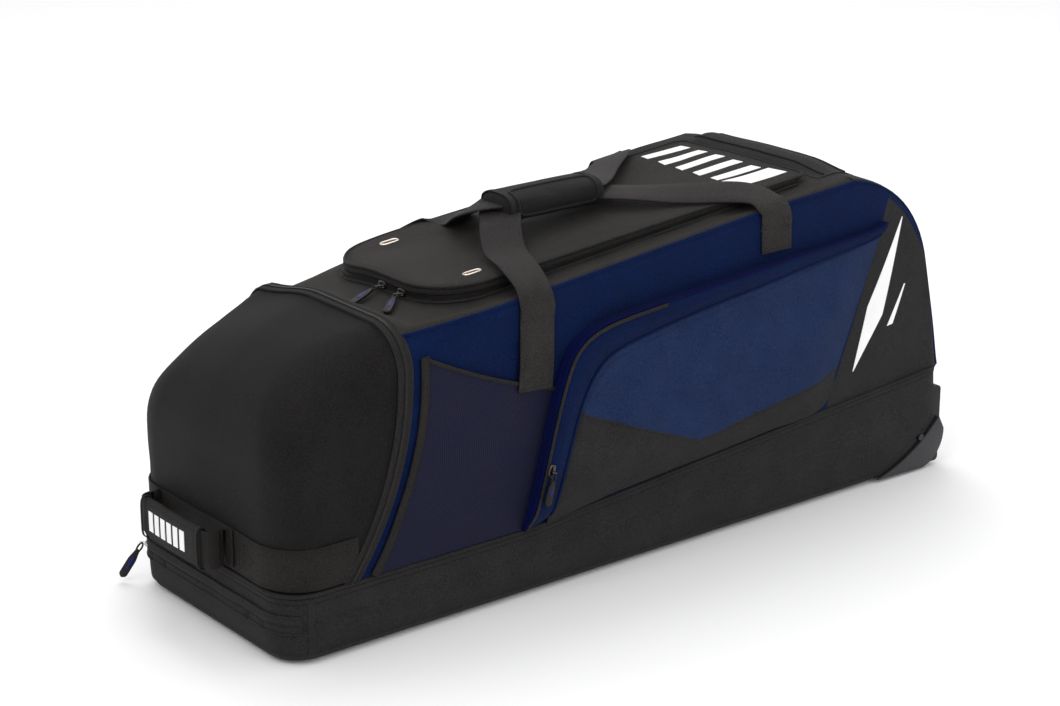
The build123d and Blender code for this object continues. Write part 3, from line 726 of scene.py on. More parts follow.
silver = moulded("silver", tone(170, 160, 155), tone(225, 215, 208), rough=(0.18, 0.36), metal=1.0)
pale_metal = moulded("pale_metal", tone(205, 190, 178), tone(240, 228, 218), rough=(0.2, 0.36), metal=1.0)
pull_rubber = moulded("pull_rubber", tone(8, 8, 8), tone(22, 21, 21), rough=(0.42, 0.6))
pull_blue = moulded("pull_blue", tone(1, 8, 78), tone(8, 24, 116), rough=(0.4, 0.55))


# ---------------------------------------------------------------- rows of stitches and teeth

def row_tree():
    """Geometry Nodes: small pieces spaced along paths, lying on the cloth, each a little uneven."""
    tree = bpy.data.node_groups.new("row_along_path", "GeometryNodeTree")
    face = tree.interface
    face.new_socket("Geometry", in_out="INPUT", socket_type="NodeSocketGeometry")
    for label, kind in (
        ("Spacing", "NodeSocketFloat"), ("Size", "NodeSocketVector"), ("Jitter", "NodeSocketFloat"),
        ("Seed", "NodeSocketInt"), ("Square", "NodeSocketBool"), ("Finish", "NodeSocketMaterial"),
    ):
        face.new_socket(label, in_out="INPUT", socket_type=kind)
    face.new_socket("Geometry", in_out="OUTPUT", socket_type="NodeSocketGeometry")
    source = tree.nodes.new("NodeGroupInput")
    result = tree.nodes.new("NodeGroupOutput")
    curve = tree.nodes.new("GeometryNodeMeshToCurve")
    spaced = tree.nodes.new("GeometryNodeResampleCurve")
    spaced.mode = "LENGTH"
    ball = tree.nodes.new("GeometryNodeMeshIcoSphere")
    ball.inputs["Radius"].default_value = 0.5
    ball.inputs["Subdivisions"].default_value = 1
    block = tree.nodes.new("GeometryNodeMeshCube")
    chosen = tree.nodes.new("GeometryNodeSwitch")
    chosen.input_type = "GEOMETRY"
    up = tree.nodes.new("GeometryNodeInputNamedAttribute")
    up.data_type = "FLOAT_VECTOR"
    up.inputs["Name"].default_value = "up"
    ahead = tree.nodes.new("GeometryNodeInputTangent")
    stand = tree.nodes.new("FunctionNodeAlignRotationToVector")
    stand.axis = "Z"
    turn = tree.nodes.new("FunctionNodeAlignRotationToVector")
    turn.axis = "X"
    turn.pivot_axis = "Z"
    loose = tree.nodes.new("FunctionNodeRandomValue")
    loose.data_type = "FLOAT_VECTOR"
    negative = tree.nodes.new("ShaderNodeMath")
    negative.operation = "MULTIPLY"
    negative.inputs[1].default_value = -1.0
    twist = tree.nodes.new("FunctionNodeRotateRotation")
    twist.rotation_space = "LOCAL"
    spread = tree.nodes.new("GeometryNodeInstanceOnPoints")
    real = tree.nodes.new("GeometryNodeRealizeInstances")
    finish = tree.nodes.new("GeometryNodeSetMaterial")
    link = tree.links.new
    link(source.outputs["Geometry"], curve.inputs["Mesh"])
    link(curve.outputs["Curve"], spaced.inputs["Curve"])
    link(source.outputs["Spacing"], spaced.inputs["Length"])
    link(source.outputs["Square"], chosen.inputs["Switch"])
    link(ball.outputs["Mesh"], chosen.inputs["False"])
    link(block.outputs["Mesh"], chosen.inputs["True"])
    link(up.outputs["Attribute"], stand.inputs["Vector"])
    link(stand.outputs["Rotation"], turn.inputs["Rotation"])
    link(ahead.outputs["Tangent"], turn.inputs["Vector"])
    link(source.outputs["Jitter"], negative.inputs[0])
    link(negative.outputs[0], loose.inputs["Min"])
    link(source.outputs["Jitter"], loose.inputs["Max"])
    link(source.outputs["Seed"], loose.inputs["Seed"])
    link(turn.outputs["Rotation"], twist.inputs["Rotation"])
    link(loose.outputs["Value"], twist.inputs["Rotate By"])
    link(spaced.outputs["Curve"], spread.inputs["Points"])
    link(chosen.outputs["Output"], spread.inputs["Instance"])
    link(twist.outputs["Rotation"], spread.inputs["Rotation"])
    link(source.outputs["Size"], spread.inputs["Scale"])
    link(spread.outputs["Instances"], real.inputs["Geometry"])
    link(real.outputs["Geometry"], finish.inputs["Geometry"])
    link(source.outputs["Finish"], finish.inputs["Material"])
    link(finish.outputs["Geometry"], result.inputs["Geometry"])
    return tree


row_group = row_tree()


def row(name, lines, spacing, size, finish, square=False, jitter=0.0, seed=1):
    """One mesh of small pieces along lines. A line is its points and the cloth's outward direction."""
    points, edges, ups = [], [], []
    for path, outward in lines:
        outward = outward if isinstance(outward, list) else [outward] * len(path)
        start = len(points)
        points += [tuple(Vector(p) * MM) for p in path]
        ups += [tuple(Vector(u).normalized()) for u in outward]
        edges += [(start + i, start + i + 1) for i in range(len(path) - 1)]
    mesh = bpy.data.meshes.new(name)
    mesh.from_pydata(points, edges, [])
    layer = mesh.attributes.new("up", "FLOAT_VECTOR", "POINT")
    layer.data.foreach_set("vector", [c for u in ups for c in u])
    piece = bpy.data.objects.new(name, mesh)
    bpy.context.scene.collection.objects.link(piece)
    modifier = piece.modifiers.new("row", "NODES")
    modifier.node_group = row_group
    values = {
        "Spacing": spacing * MM, "Size": tuple(s * MM for s in size), "Jitter": jitter, "Seed": seed,
        "Square": square, "Finish": finish,
    }
    for item in row_group.interface.items_tree:
        if item.in_out == "INPUT" and item.name in values:
            modifier[item.identifier] = values[item.name]
    settle(piece)
    if not square:
        piece.data.shade_smooth()
    return piece


def stitches(name, lines, finish, seed=1):
    """Sewing thread: stitches 2.6 mm long."""
    return row(name, lines, 3.6, (2.6, 0.75, 0.55), finish, jitter=0.06, seed=seed)


def teeth(name, lines):
    """Nylon coil seen from outside: narrow bars across the zip."""
    return row(name, lines, 1.7, (0.95, 3.4, 1.1), coil_nylon, square=True)


# ---------------------------------------------------------------- loops around the bag

def arc_points(centre, radius, start, end, count):
    """Points of an arc seen from above, angles in degrees."""
    return [
        (centre[0] + radius * cos(radians(t)), centre[1] + radius * sin(radians(t)))
        for t in steps(start, end, count)
    ]


front_marks = [gusset_side, 93, flap_side] + [flap_side * k / 8 for k in range(7, 0, -1)]
front_ys = front_marks + [0] + [-y for y in reversed(front_marks)]
first_flap, last_flap = front_ys.index(flap_side), front_ys.index(-flap_side)
last_front = len(front_ys) - 1
wheel_cut_x, wheel_cut_y, wheel_cut_slope = 366, 108, 0.60


def tub_loop(inset):
    """Plan of the base, from the far front corner round the front, near side, rear and far side."""
    near = -(half_width - inset)
    loop = [(front_x + inset, y) for y in front_ys]
    centre = (front_x + front_corner, -(half_width - front_corner))
    loop += arc_points(centre, front_corner - inset, 180, 270, 10)[1:]
    loop += [(x, near) for x in steps(front_x + front_corner, rear_x - rear_corner, 72)[1:]]
    centre = (rear_x - rear_corner, -(half_width - rear_corner))
    loop += arc_points(centre, rear_corner - inset, 270, 360, 8)[1:]
    loop += [(rear_x - inset, y) for y in steps(-half_width + rear_corner, half_width - rear_corner, 20)[1:]]
    mirrored = [(x, -y) for x, y in reversed(loop[len(front_ys) - 1:-20])]
    return loop + mirrored[:-1]


def wheel_cut(x, y):
    """Lowest height of the base's cloth, which is cut away slantwise for the wheels."""
    if abs(y) < wheel_cut_y or x < wheel_cut_x:
        return floor_gap
    if x < rear_x - rear_corner:
        return floor_gap + (x - wheel_cut_x) * wheel_cut_slope
    round_corner = smooth((x - (rear_x - rear_corner)) / rear_corner)
    return mix(floor_gap + 48, 101.5, round_corner)


# ---------------------------------------------------------------- base

tub_outline = tub_loop(0)
tub_ways = [
    Vector((b[0] - a[0], b[1] - a[1], 0)).normalized()
    for a, b in zip(tub_outline, tub_loop(-1))
]


def tub_point(index, z, proud=0.0):
    """Place on the base's cloth at a height."""
    x, y = tub_outline[index]
    z = max(z, wheel_cut(x, y))
    top = seam_z(x)
    lift = min(max((z - floor_gap) / (top - floor_gap), 0.0), 1.0)
    tuck = 5.0 * (1 - smooth((z - floor_gap) / 7)) + 0.6
    swell = 2.2 * sin(pi * lift)
    swell += ripple((x, y, z * 1.6), 42, 1.5, 8.0) * sin(pi * lift)
    swell -= 1.6 * (1 - smooth(abs(z - tray_zip_z) / 7)) if x < knee_x - 200 else 0.0
    return Vector((x, y, z)) + tub_ways[index] * (proud + swell - tuck)


def tub_grid(indices, heights):
    """Rows of points of the base's cloth. A height is a number, or a share above the tray zip."""
    grid = []
    for height in heights:
        line = []
        for i in indices:
            x, y = tub_outline[i]
            z = height if height > 1 else mix(tray_zip_z, seam_z(x), height)
            line.append(tub_point(i, z))
        grid.append(line)
    return grid


def build_base():
    """Cloth tub, its shelf under the body, the tray flap and the corners beside it."""
    count = len(tub_outline)
    everywhere = list(range(count)) + [0]
    upper = tub_grid(everywhere, [k / 9 + 1e-4 for k in range(9)] + [0.9999])
    for inset in (3, 10, 24):
        upper.append([
            Vector((x, y, seam_z(x) + 0.3)) for x, y in tub_loop(inset) + tub_loop(inset)[:1]
        ])
    lower_heights = [floor_gap, floor_gap + 1.5, floor_gap + 3.5, flap_hinge_z]
    lower = tub_grid(everywhere, lower_heights)
    middle_heights = steps(flap_hinge_z, tray_zip_z, 6)
    around = list(range(last_front, count)) + [0]
    middle = tub_grid(around, middle_heights)
    centre = (0, 0, 60)
    parts = [sewn("part", grid, charcoal, centre, base_skin) for grid in (upper, lower, middle)]
    place(joined("base_cloth", parts), "bag", "shell_fabric", "base_shell")
    grid = tub_grid(range(first_flap, last_flap + 1), middle_heights)
    flap = sewn("tray_flap_cloth", grid, charcoal, centre, base_skin)
    place(flap, "tray_flap", "shell_fabric", "tray_flap")
    for name, sign, indices in (
        ("left", -1, range(last_flap, last_front + 1)), ("right", 1, range(0, first_flap + 1)),
    ):
        grid = tub_grid(indices, middle_heights)
        corner = sewn(f"tray_corner_{name}", grid, charcoal, centre, base_skin)
        fold_with_flap(corner)


def fold_with_flap(piece):
    """Bake a piece beside the tray flap into its place; it is fastened to neither the bag nor the flap."""
    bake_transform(piece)


def tub_line(indices, z, proud):
    """Path on the base's cloth and its outward directions."""
    return [tub_point(i, z(tub_outline[i][0]), proud) for i in indices], [tub_ways[i] for i in indices]


def build_base_trim():
    """Piping on the base's top seam, the tray zip, hem stitching and the upright corner seam."""
    count = len(tub_outline)
    everywhere = list(range(count))
    path, ways = tub_line(everywhere, lambda x: seam_z(x) - 0.5, 0.8)
    rim = strip(path, ways, round_profile(2.3), charcoal, loop=True)
    path, ways = tub_line(everywhere, lambda x: seam_z(x) - 5.5, -0.1)
    fold = strip(path, ways, flat_profile(5.0, 1.1), charcoal, loop=True)
    place(joined("base_piping", [rim, fold]), "bag", "shell_fabric")

    corner_end = len(front_ys) + 7
    far_part = list(range(count - 12, count))
    zipped = far_part + list(range(0, corner_end))

    def zip_side(indices, tape_z, welt_z):
        path, ways = tub_line(indices, lambda x: tray_zip_z + tape_z, 1.0)
        tape = strip(path, ways, flat_profile(7.0, 1.2), tape_cloth)
        path, ways = tub_line(indices, lambda x: tray_zip_z + welt_z, 1.2)
        return [tape, strip(path, ways, round_profile(1.5, 6), charcoal)]

    place(joined("tray_zip_upper", zip_side(zipped, 5.2, 9.4)), "bag", "zip_tape")
    coil = tub_line(zipped, lambda x: tray_zip_z + 0.8, 2.0)
    place(teeth("tray_zip_coil", [coil]), "bag", "zip_tape")
    for name, sign, indices in (
        ("near", 0, list(range(last_front, corner_end))),
        ("far", 0, far_part + [0]),
        ("flap", 0, list(range(first_flap, last_flap + 1))),
        ("left", -1, list(range(last_flap, last_front + 1))),
        ("right", 1, list(range(0, first_flap + 1))),
    ):
        piece = joined(f"tray_zip_lower_{name}", zip_side(indices, -4.2, -8.6))
        if sign:
            fold_with_flap(piece)
        else:
            place(piece, "tray_flap" if name == "flap" else "bag", "zip_tape")

    lines = [tub_line(everywhere + [0], lambda x: seam_z(x) - 9.5, 0.3)]
    lines.append(tub_line(everywhere + [0], lambda x: floor_gap + 8, 0.3))
    for index in (corner_end, corner_end + 1):
        heights = steps(floor_gap + 9, seam_z(tub_outline[index][0]) - 10, 14)
        lines.append(([tub_point(index, z, 0.3) for z in heights], tub_ways[index]))
    place(stitches("base_stitches", lines, thread_black, seed=3), "bag", "shell_fabric")
    seam = [
        mix(tub_point(corner_end, z), tub_point(corner_end + 1, z), 0.5)
        for z in steps(floor_gap + 3, seam_front - 4, 14)
    ]
    ridge = swept("corner_seam", seam, tub_ways[corner_end], flat_profile(8, 1.0))
    paint(ridge, charcoal)
    place(ridge, "bag", "shell_fabric")


# ---------------------------------------------------------------- body and dome hoops

def hoop(foot, crest, along, across, out, bow=0.0, side_count=22, arc_count=10, top_count=22):
    """Inverted U from the near foot over the crest to the far foot, with rounded shoulders."""
    reach = (crest - foot).length
    ahead = (crest - foot) / reach
    along = min(along, reach * 0.98)
    flat = [(t, 0.0) for t in steps(0, reach - along, side_count)]
    for k in range(1, arc_count + 1):
        turn = pi / 2 * k / arc_count
        flat.append((reach - along + along * sin(turn), across * (1 - cos(turn))))
    points = []
    for t, inward in flat:
        spot = foot + ahead * t
        if bow:
            spot.x += bow * (arch_x(min(spot.z, arch_top)) - mix(
                arch_foot_x, arch_top_x, (spot.z - seam_front) / (arch_top - seam_front)))
        points.append(Vector((spot.x, -(out(spot.x, spot.z) - inward), spot.z)))
    far = [Vector((p.x, -p.y, p.z)) for p in reversed(points)]
    between = [mix(points[-1], far[0], k / top_count) for k in range(1, top_count)]
    return points + between + far


def body_stations():
    """Foot, crest and rounding of each hoop from the arch to the rear seam."""
    stations = []
    for share in steps(0, 1, 44):
        x = mix(arch_top_x, shoulder.x, share)
        foot_x = mix(arch_foot_x, rear_x - 150, share)
        crest = Vector((x, 0, top_z(x, 0)))
        bow = max(0.0, 1 - share * 3.2) ** 2
        stations.append((Vector((foot_x, 0, seam_z(foot_x))), crest, edge_radius(x), bow))
    bend = arc_through(shoulder, shoulder_middle, rear_brow, 14)[1:]
    for k, crest in enumerate(bend):
        foot_x = mix(rear_x - 150, rear_pivot.x, (k + 1) / len(bend))
        stations.append((Vector((foot_x, 0, seam_z(foot_x) - 1)), crest, rear_radius, 0.0))
    for share in steps(0, 1, 12)[1:]:
        crest = mix(rear_brow, rear_foot, share)
        foot = Vector((rear_pivot.x, 0, seam_z(rear_pivot.x) - 1))
        stations.append((foot, crest, mix(rear_radius, 16, share), 0.0))
    return stations


body = [
    hoop(foot, crest, radius, radius, side_out, bow) for foot, crest, radius, bow in body_stations()
]
SIDE_STEPS, ARC_STEPS, TOP_STEPS = 22, 10, 22
seam_column = SIDE_STEPS + ARC_STEPS // 2
last_column = 2 * (SIDE_STEPS + ARC_STEPS) + TOP_STEPS
shoulder_row = 44
black_edge = ((rear_x - 199, seam_z(rear_x - 199) - 20), (rear_x - 99, 368))
black_line = Vector((black_edge[1][0] - black_edge[0][0], 0, black_edge[1][1] - black_edge[0][1]))


rear_round = arc_through(shoulder, shoulder_middle, rear_brow, 14)


def strip_edge():
    """Front edge of the blue strip that follows the round rear edge and narrows downwards."""
    line = rear_round + [rear_foot]
    edge = []
    for before, spot, after in zip([line[0]] + line, line, line[1:] + [line[-1]]):
        along = (after - before).normalized()
        width = 11 * smooth((spot.z - 235) / 90) - 1
        edge.append((spot.x + along.z * width, spot.z - along.x * width))
    return [(x, z) for x, z in edge if x > black_edge[1][0] - 30]


def behind_black_edge(p):
    """True behind the slanted seam of the black rear side panel."""
    return (p.x - black_edge[0][0]) * black_line.z - (p.z - black_edge[0][1]) * black_line.x > 0


def build_sides():
    """Side panels, blue with a black panel at the rear, up to the piping."""
    blue_edge = strip_edge()
    for name, sign in SIDES:
        grid = [
            [Vector((p.x, p.y * -sign, p.z)) for p in points[:seam_column + 1]] for points in body
        ]
        piece = grid_piece(f"side_cloth_{name}", grid)
        paint(piece, navy)
        cut_along(piece, *black_edge)
        cut_along(piece, *blue_edge)
        paint(
            piece, charcoal,
            lambda p: behind_black_edge(p) and p.z < line_height(blue_edge, p.x),
        )
        tidy(piece)
        face_out(piece, bag_middle)
        thicken(piece, skin, lining)
        place(piece, "bag", "navy_fabric", f"side_panel_{name}")


def ring_loop(start_x, end_x, half, front_radius, back_radius, front_count, side_count):
    """Rounded rectangle seen from above in four runs: front, near side, rear and far side."""
    def corner(centre_x, centre_y, radius, start, end):
        return [Vector((*spot, 0)) for spot in arc_points((centre_x, centre_y), radius, start, end, 8)]
    front_y, back_y = half - front_radius, half - back_radius
    front_end, back_end = start_x + front_radius, end_x - back_radius
    front = corner(front_end, front_y, front_radius, 135, 180)
    front += [Vector((start_x, y, 0)) for y in steps(front_y, -front_y, 8)[1:-1]]
    front += corner(front_end, -front_y, front_radius, 180, 225)
    side = corner(front_end, -front_y, front_radius, 225, 270)
    side += [Vector((x, -half, 0)) for x in steps(front_end, back_end, 8)[1:-1]]
    side += corner(back_end, -back_y, back_radius, 270, 315)
    rear = corner(back_end, -back_y, back_radius, -45, 0)
    rear += [Vector((end_x, y, 0)) for y in steps(-back_y, back_y, 8)[1:-1]]
    rear += corner(back_end, back_y, back_radius, 0, 45)
    near = spaced_run(side, side_count)
    far = [Vector((p.x, -p.y, 0)) for p in reversed(near)]
    return [spaced_run(front, front_count), near, spaced_run(rear, front_count), far]


def spaced_run(path, count):
    """A path's points redone at even spacing."""
    lengths = [0.0]
    for a, b in zip(path, path[1:]):
        lengths.append(lengths[-1] + (b - a).length)
    result = []
    for distance in steps(0, lengths[-1], count):
        k = 0
        while k < len(path) - 2 and lengths[k + 1] < distance:
            k += 1
        gap_length = max(lengths[k + 1] - lengths[k], 1e-9)
        result.append(mix(path[k], path[k + 1], (distance - lengths[k]) / gap_length))
    return result


def build_top():
    """Top panel around the lid opening, and the rear panel down from the shoulder."""
    front_count, side_count = 24, 56
    across = slice(seam_column, last_column - seam_column + 1)
    front = list(reversed(spaced_run(body[1][across], front_count)))
    near = spaced_run([points[seam_column] for points in body[1:shoulder_row + 1]], side_count)
    rear = spaced_run(body[shoulder_row][across], front_count)
    far = [Vector((p.x, -p.y, p.z)) for p in reversed(near)]
    inner = ring_loop(
        lid_low.x + lid_ledge, lid_high.x - lid_ledge, lid_high.y - lid_ledge,
        lid_radius - lid_ledge, 4, front_count, side_count,
    )
    ring_out = [p for run in (front, near, rear, far) for p in run[:-1]]
    ring_in = [p for run in inner for p in run[:-1]]
    grid = []
    for share in (0, 0.03, 0.07, 0.12, 0.18, 0.26, 0.36, 0.48, 0.62, 0.78, 1):
        line = []
        for start, end in zip(ring_out, ring_in):
            x, y = mix(start.x, end.x, share), mix(start.y, end.y, share)
            z = mix(top_z(x, y), deck_z(x) + 0.5, smooth(share * 2.6))
            z += ripple((x, y, 0), 60, 2.0, 5.0) * sin(pi * share)
            line.append(start.copy() if share == 0 else Vector((x, y, z)))
        grid.append(line + line[:1])
    # The top panel gets the lighter deck cloth, a painted highlight of light from above.
    top = sewn("top_cloth", grid, deck_painted_highlight_cloth, bag_middle)
    place(top, "bag", "shell_fabric", "top_frame")

    grid = [points[across] for points in body[shoulder_row:]]
    for i, line in enumerate(grid):
        for j, p in enumerate(line):
            middle = 1 - (p.y / half_width) ** 2
            push = (3.0 * middle + ripple(p, 70, 2.4, 2.0)) * sin(pi * i / (len(grid) - 1))
            line[j] = p + Vector((0.8, 0, 0.4)) * push
    rear_skin = sewn("rear_cloth", grid, charcoal, bag_middle)
    place(rear_skin, "bag", "shell_fabric", "rear_panel")


def build_piping():
    """Piping between the side panels and the top and rear."""
    for name, sign in SIDES:
        path = [Vector((p.x, p.y * -sign, p.z)) for p in (points[seam_column] for points in body[1:])]
        cord = swept(f"side_piping_{name}", path, (0, sign, 1), round_profile(2.1))
        paint(cord, navy)
        place(cord, "bag", "navy_fabric")


def dome_stations():
    """Foot, crest and roundings of each hoop from the arch forward to the foot of the dome."""
    dome_rows = 40
    foot = Vector((arch_foot_x, 0, seam_front + 0.6))
    top = Vector((arch_top_x, 0, arch_top - 0.8))
    profile = soft_path([
        top, Vector((front_x + 100, 0, 314)), Vector((front_x + 60, 0, 295)),
        Vector((front_x + 22, 0, 263)), Vector((front_x + 4, 0, 222)), Vector((front_x, 0, 180)),
        Vector((front_x, 0, 128)), Vector((front_x, 0, foot.z)),
    ], 8)
    stations = []
    for k, crest in enumerate(spaced_run(profile, dome_rows)):
        reach = (crest - foot).length
        share = k / dome_rows
        along = mix(arch_radius, 66, smooth(share / 0.18))
        across = mix(arch_radius, 72, smooth(share / 0.25)) - 24 * smooth((share - 0.35) / 0.35)
        if crest.z < 235:
            along = min(along, 0.66 * reach)
        stations.append((foot, crest, along, across, max(0.0, 1 - k / 9) ** 2))
    return stations


def dome_out(x, z):
    """Distance of the dome's side from the middle plane."""
    low = min(max((z - 76) / 250, 0), 1)
    hollow = 6.0 * smooth((arch_x(min(z, arch_top)) - x) / 30)
    hollow *= smooth((z - 110) / 60) * smooth((x - front_x) / 40)
    return half_width - 2 + 2.0 * sin(pi * low) - hollow + ripple((x, 0, z), 120, 1.2, 1.0)


def build_dome():
    """Moulded dome skin."""
    grid = [
        hoop(foot, crest, along, across, dome_out, bow, 14, 16, 22)
        for foot, crest, along, across, bow in dome_stations()
    ]
    for i, line in enumerate(grid):
        for j, p in enumerate(line):
            dent = ripple(p, 110, 2.0, 7.0) + ripple(p, 45, 0.5, 4.0)
            line[j] = p + Vector((p.x + 330, p.y, p.z - 120)).normalized() * dent * smooth(i / 4)
    dome = tidy(grid_piece("dome_cloth", grid))
    face_out(dome, (front_x + 90, 0, 120))
    paint(dome, dome_cloth)
    tree = mesh_tree(dome)
    thicken(dome, shell_thickness, lining)
    place(dome, "dome", "dome_fabric", "dome_shell")
    return tree


def dome_belt(tree, z, count, lift):
    """Path round the dome's foot at a height, with outward directions."""
    path, ways = [], []
    centre = Vector((arch_foot_x + 10, 0, z))
    end = arch_x(z)
    near_turn = atan2(-(half_width - 2), end - 1 - centre.x)
    for k in range(count + 1):
        turn = mix(-near_turn, 2 * pi + near_turn, k / count)
        direction = Vector((cos(turn), sin(turn), 0))
        hit, normal, _, _ = tree.ray_cast(centre, direction)
        if hit is None:
            continue
        way = Vector((normal.x, normal.y, 0)).normalized()
        if way.dot(direction) < 0:
            way.negate()
        path.append(hit + way * lift)
        ways.append(way)
    return path, ways


def build_band(tree):
    """Webbing sewn round the dome's foot, with stitching and the handle's arrow stitch."""
    middle = (band_low.z + band_high.z) / 2
    height = band_high.z - band_low.z
    path, ways = dome_belt(tree, middle, 110, 0.4)
    belt = swept("dome_belt", path, ways, flat_profile(height, webbing - 0.6))
    paint(belt, band_cloth)
    place(belt, "dome", "webbing", "dome_band")
    lines = [dome_belt(tree, z, 110, webbing + 0.2) for z in (band_low.z + 3, band_high.z - 3)]
    path, ways = dome_belt(tree, middle, 220, webbing + 0.3)
    up = Vector((0, 0, 15))
    for sign, start in ((-1, handle_low.y), (1, handle_high.y)):
        near = [k for k, p in enumerate(path) if p.x < front_x + 70 and p.y * sign > 0]
        base = min(near, key=lambda k: abs(path[k].y - (start + 8 * sign)))
        for shift in (0, 4):
            tip = path[min(max(base - (7 + shift) * sign, 0), len(path) - 1)]
            root = min(max(base - shift * sign, 0), len(path) - 1)
            high, low = path[root] + up, path[root] - up
            lines.append((even([high, tip, low], 4), ways[root]))
            lines.append((even([high, low], 4), ways[root]))
    place(stitches("band_stitches", lines, thread_black, seed=5), "dome", "webbing")


def build_grab_handle():
    """Front handle: webbing bowed off the dome, with a padded sleeve that carries plain bars."""
    strap_x = (sleeve_low.x + sleeve_high.x) / 2
    z = (handle_low.z + handle_high.z) / 2
    middle_y = (sleeve_low.y + sleeve_high.y) / 2
    root = front_x - webbing - 0.6
    forwards = (-1, 0, 0)
    path = soft_path(
        [
            (root, handle_low.y + 2, z), (root - 1, handle_low.y + 10, z),
            (strap_x + 5, sleeve_low.y - 12, z), (strap_x, sleeve_low.y, z),
            (strap_x - 1, middle_y, z), (strap_x, sleeve_high.y, z),
            (strap_x + 5, sleeve_high.y + 12, z), (root - 1, handle_high.y - 10, z),
            (root, handle_high.y - 2, z),
        ], 8,
    )
    path = [p + Vector((0.8, 0, 0)) for p in path]
    strap = swept("handle_strap", path, forwards, flat_profile(handle_high.z - handle_low.z, webbing))
    paint(strap, band_cloth)
    place(strap, "dome", "webbing", "grab_handle")

    thick = sleeve_high.x - sleeve_low.x
    tall = sleeve_high.z - sleeve_low.z
    rounded = soft_box(28, tall, thick, 0.35, 0.8)
    path = []
    for y in steps(sleeve_low.y, sleeve_high.y, 36):
        sag = 1.5 * cos(pi * (y - middle_y) / (sleeve_high.y - sleeve_low.y))
        path.append((strap_x + 0.7 - sag, y, z + ripple((0, y, 0), 30, 1.0)))
    sleeve = paint(swept("handle_sleeve", path, forwards, rounded), charcoal)
    place(sleeve, "dome", "padding", "grab_sleeve")
    surface = mesh_tree(sleeve)
    before = sleeve_low.x - 60

    def seam(spots):
        return [on_surface(surface, (before, y, h), (1, 0, 0), 0.3) for y, h in spots], forwards

    heights = steps(sleeve_low.z + 3, sleeve_high.z - 3, 10)
    widths = steps(sleeve_low.y + 5, sleeve_high.y - 5, 30)
    lines = [
        seam([(y, h) for h in heights])
        for y in (sleeve_low.y + 4, sleeve_low.y + 7, sleeve_high.y - 4)
    ]
    lines += [seam([(y, h) for y in widths]) for h in (sleeve_low.z + 4, sleeve_high.z - 4)]
    place(stitches("sleeve_stitches", lines, thread_black, seed=7), "dome", "padding")
    bar_count, bar_width, bar_half = 6, 8.5, 11
    bars = []
    for k in range(bar_count):
        y = mix(sleeve_low.y + 24, sleeve_high.y - 8, k / bar_count)
        bars.append([
            (y, -bar_half), (y + bar_width, -bar_half), (y + bar_width, bar_half), (y, bar_half),
        ])
    print_on(
        "handle_bars", surface, bars, lambda u, v: ((before, u, z + v), (1, 0, 0)), "dome", "padding",
    )
    cuffs = []
    for y in (sleeve_low.y - 0.5, sleeve_high.y + 0.5):
        ring = [(strap_x - 0.6 + high * 1.06, y, z + wide * 1.02) for wide, high in rounded]
        ways = [Vector((high, 0, wide)).normalized() for wide, high in rounded]
        cuffs.append(strip(ring, ways, flat_profile(3.5, 1.2), charcoal, loop=True))
    place(joined("sleeve_cuffs", cuffs), "dome", "padding")


def print_on(name, tree, shapes, ray, body_name, slot):
    """Thin printed shapes that lie on a surface. A shape is four corners in u and v."""
    rows, columns = 14, 6
    points, faces, coords = [], [], []
    for corners in shapes:
        a, b, c, d = [Vector((*corner, 0)) for corner in corners]
        start = len(points)
        for i in range(rows + 1):
            for j in range(columns + 1):
                spot = mix(mix(a, d, i / rows), mix(b, c, i / rows), j / columns)
                points.append(on_surface(tree, *ray(spot.x, spot.y), mark_height))
                coords.append((spot.x, spot.y))
        for i in range(rows):
            for j in range(columns):
                k = start + i * (columns + 1) + j
                faces.append((k, k + 1, k + columns + 2, k + columns + 1))
    piece = tidy(make_mesh(name, points, faces, coords))
    toward = Vector(ray(*shapes[0][0])[1])
    if sum(f.normal.dot(toward) for f in piece.data.polygons) > 0:
        piece.data.flip_normals()
    paint(piece, white_print)
    thicken(piece, mark_height + 0.4)
    return place(piece, body_name, slot)


# ---------------------------------------------------------------- arch zip

def arch_hoop(reach):
    """Hoop along the arch line moved back by reach, with outward directions."""
    path, ways = [], []
    low, high = seam_front + 1, arch_top
    straight_top = high - arch_radius
    for z in steps(low, straight_top, 26):
        path.append(Vector((arch_x(z) + reach, -side_out(arch_x(z), z), z)))
        ways.append(Vector((0, -1, 0)))
    for k in range(1, 11):
        turn = pi / 2 * k / 10
        z = straight_top + arch_radius * sin(turn)
        y = -(half_width - arch_radius) - arch_radius * cos(turn)
        path.append(Vector((arch_x(min(z, arch_top)) + reach, y, z)))
        ways.append(Vector((0, -cos(turn), sin(turn))))
    shelf = path[-1]
    for y in steps(shelf.y, 0, 12)[1:]:
        path.append(Vector((shelf.x, y, shelf.z)))
        ways.append(Vector((0, 0, 1)))
    far = [Vector((p.x, -p.y, p.z)) for p in reversed(path[:-1])]
    far_ways = [Vector((w.x, -w.y, w.z)) for w in reversed(ways[:-1])]
    return path + far, ways + far_ways


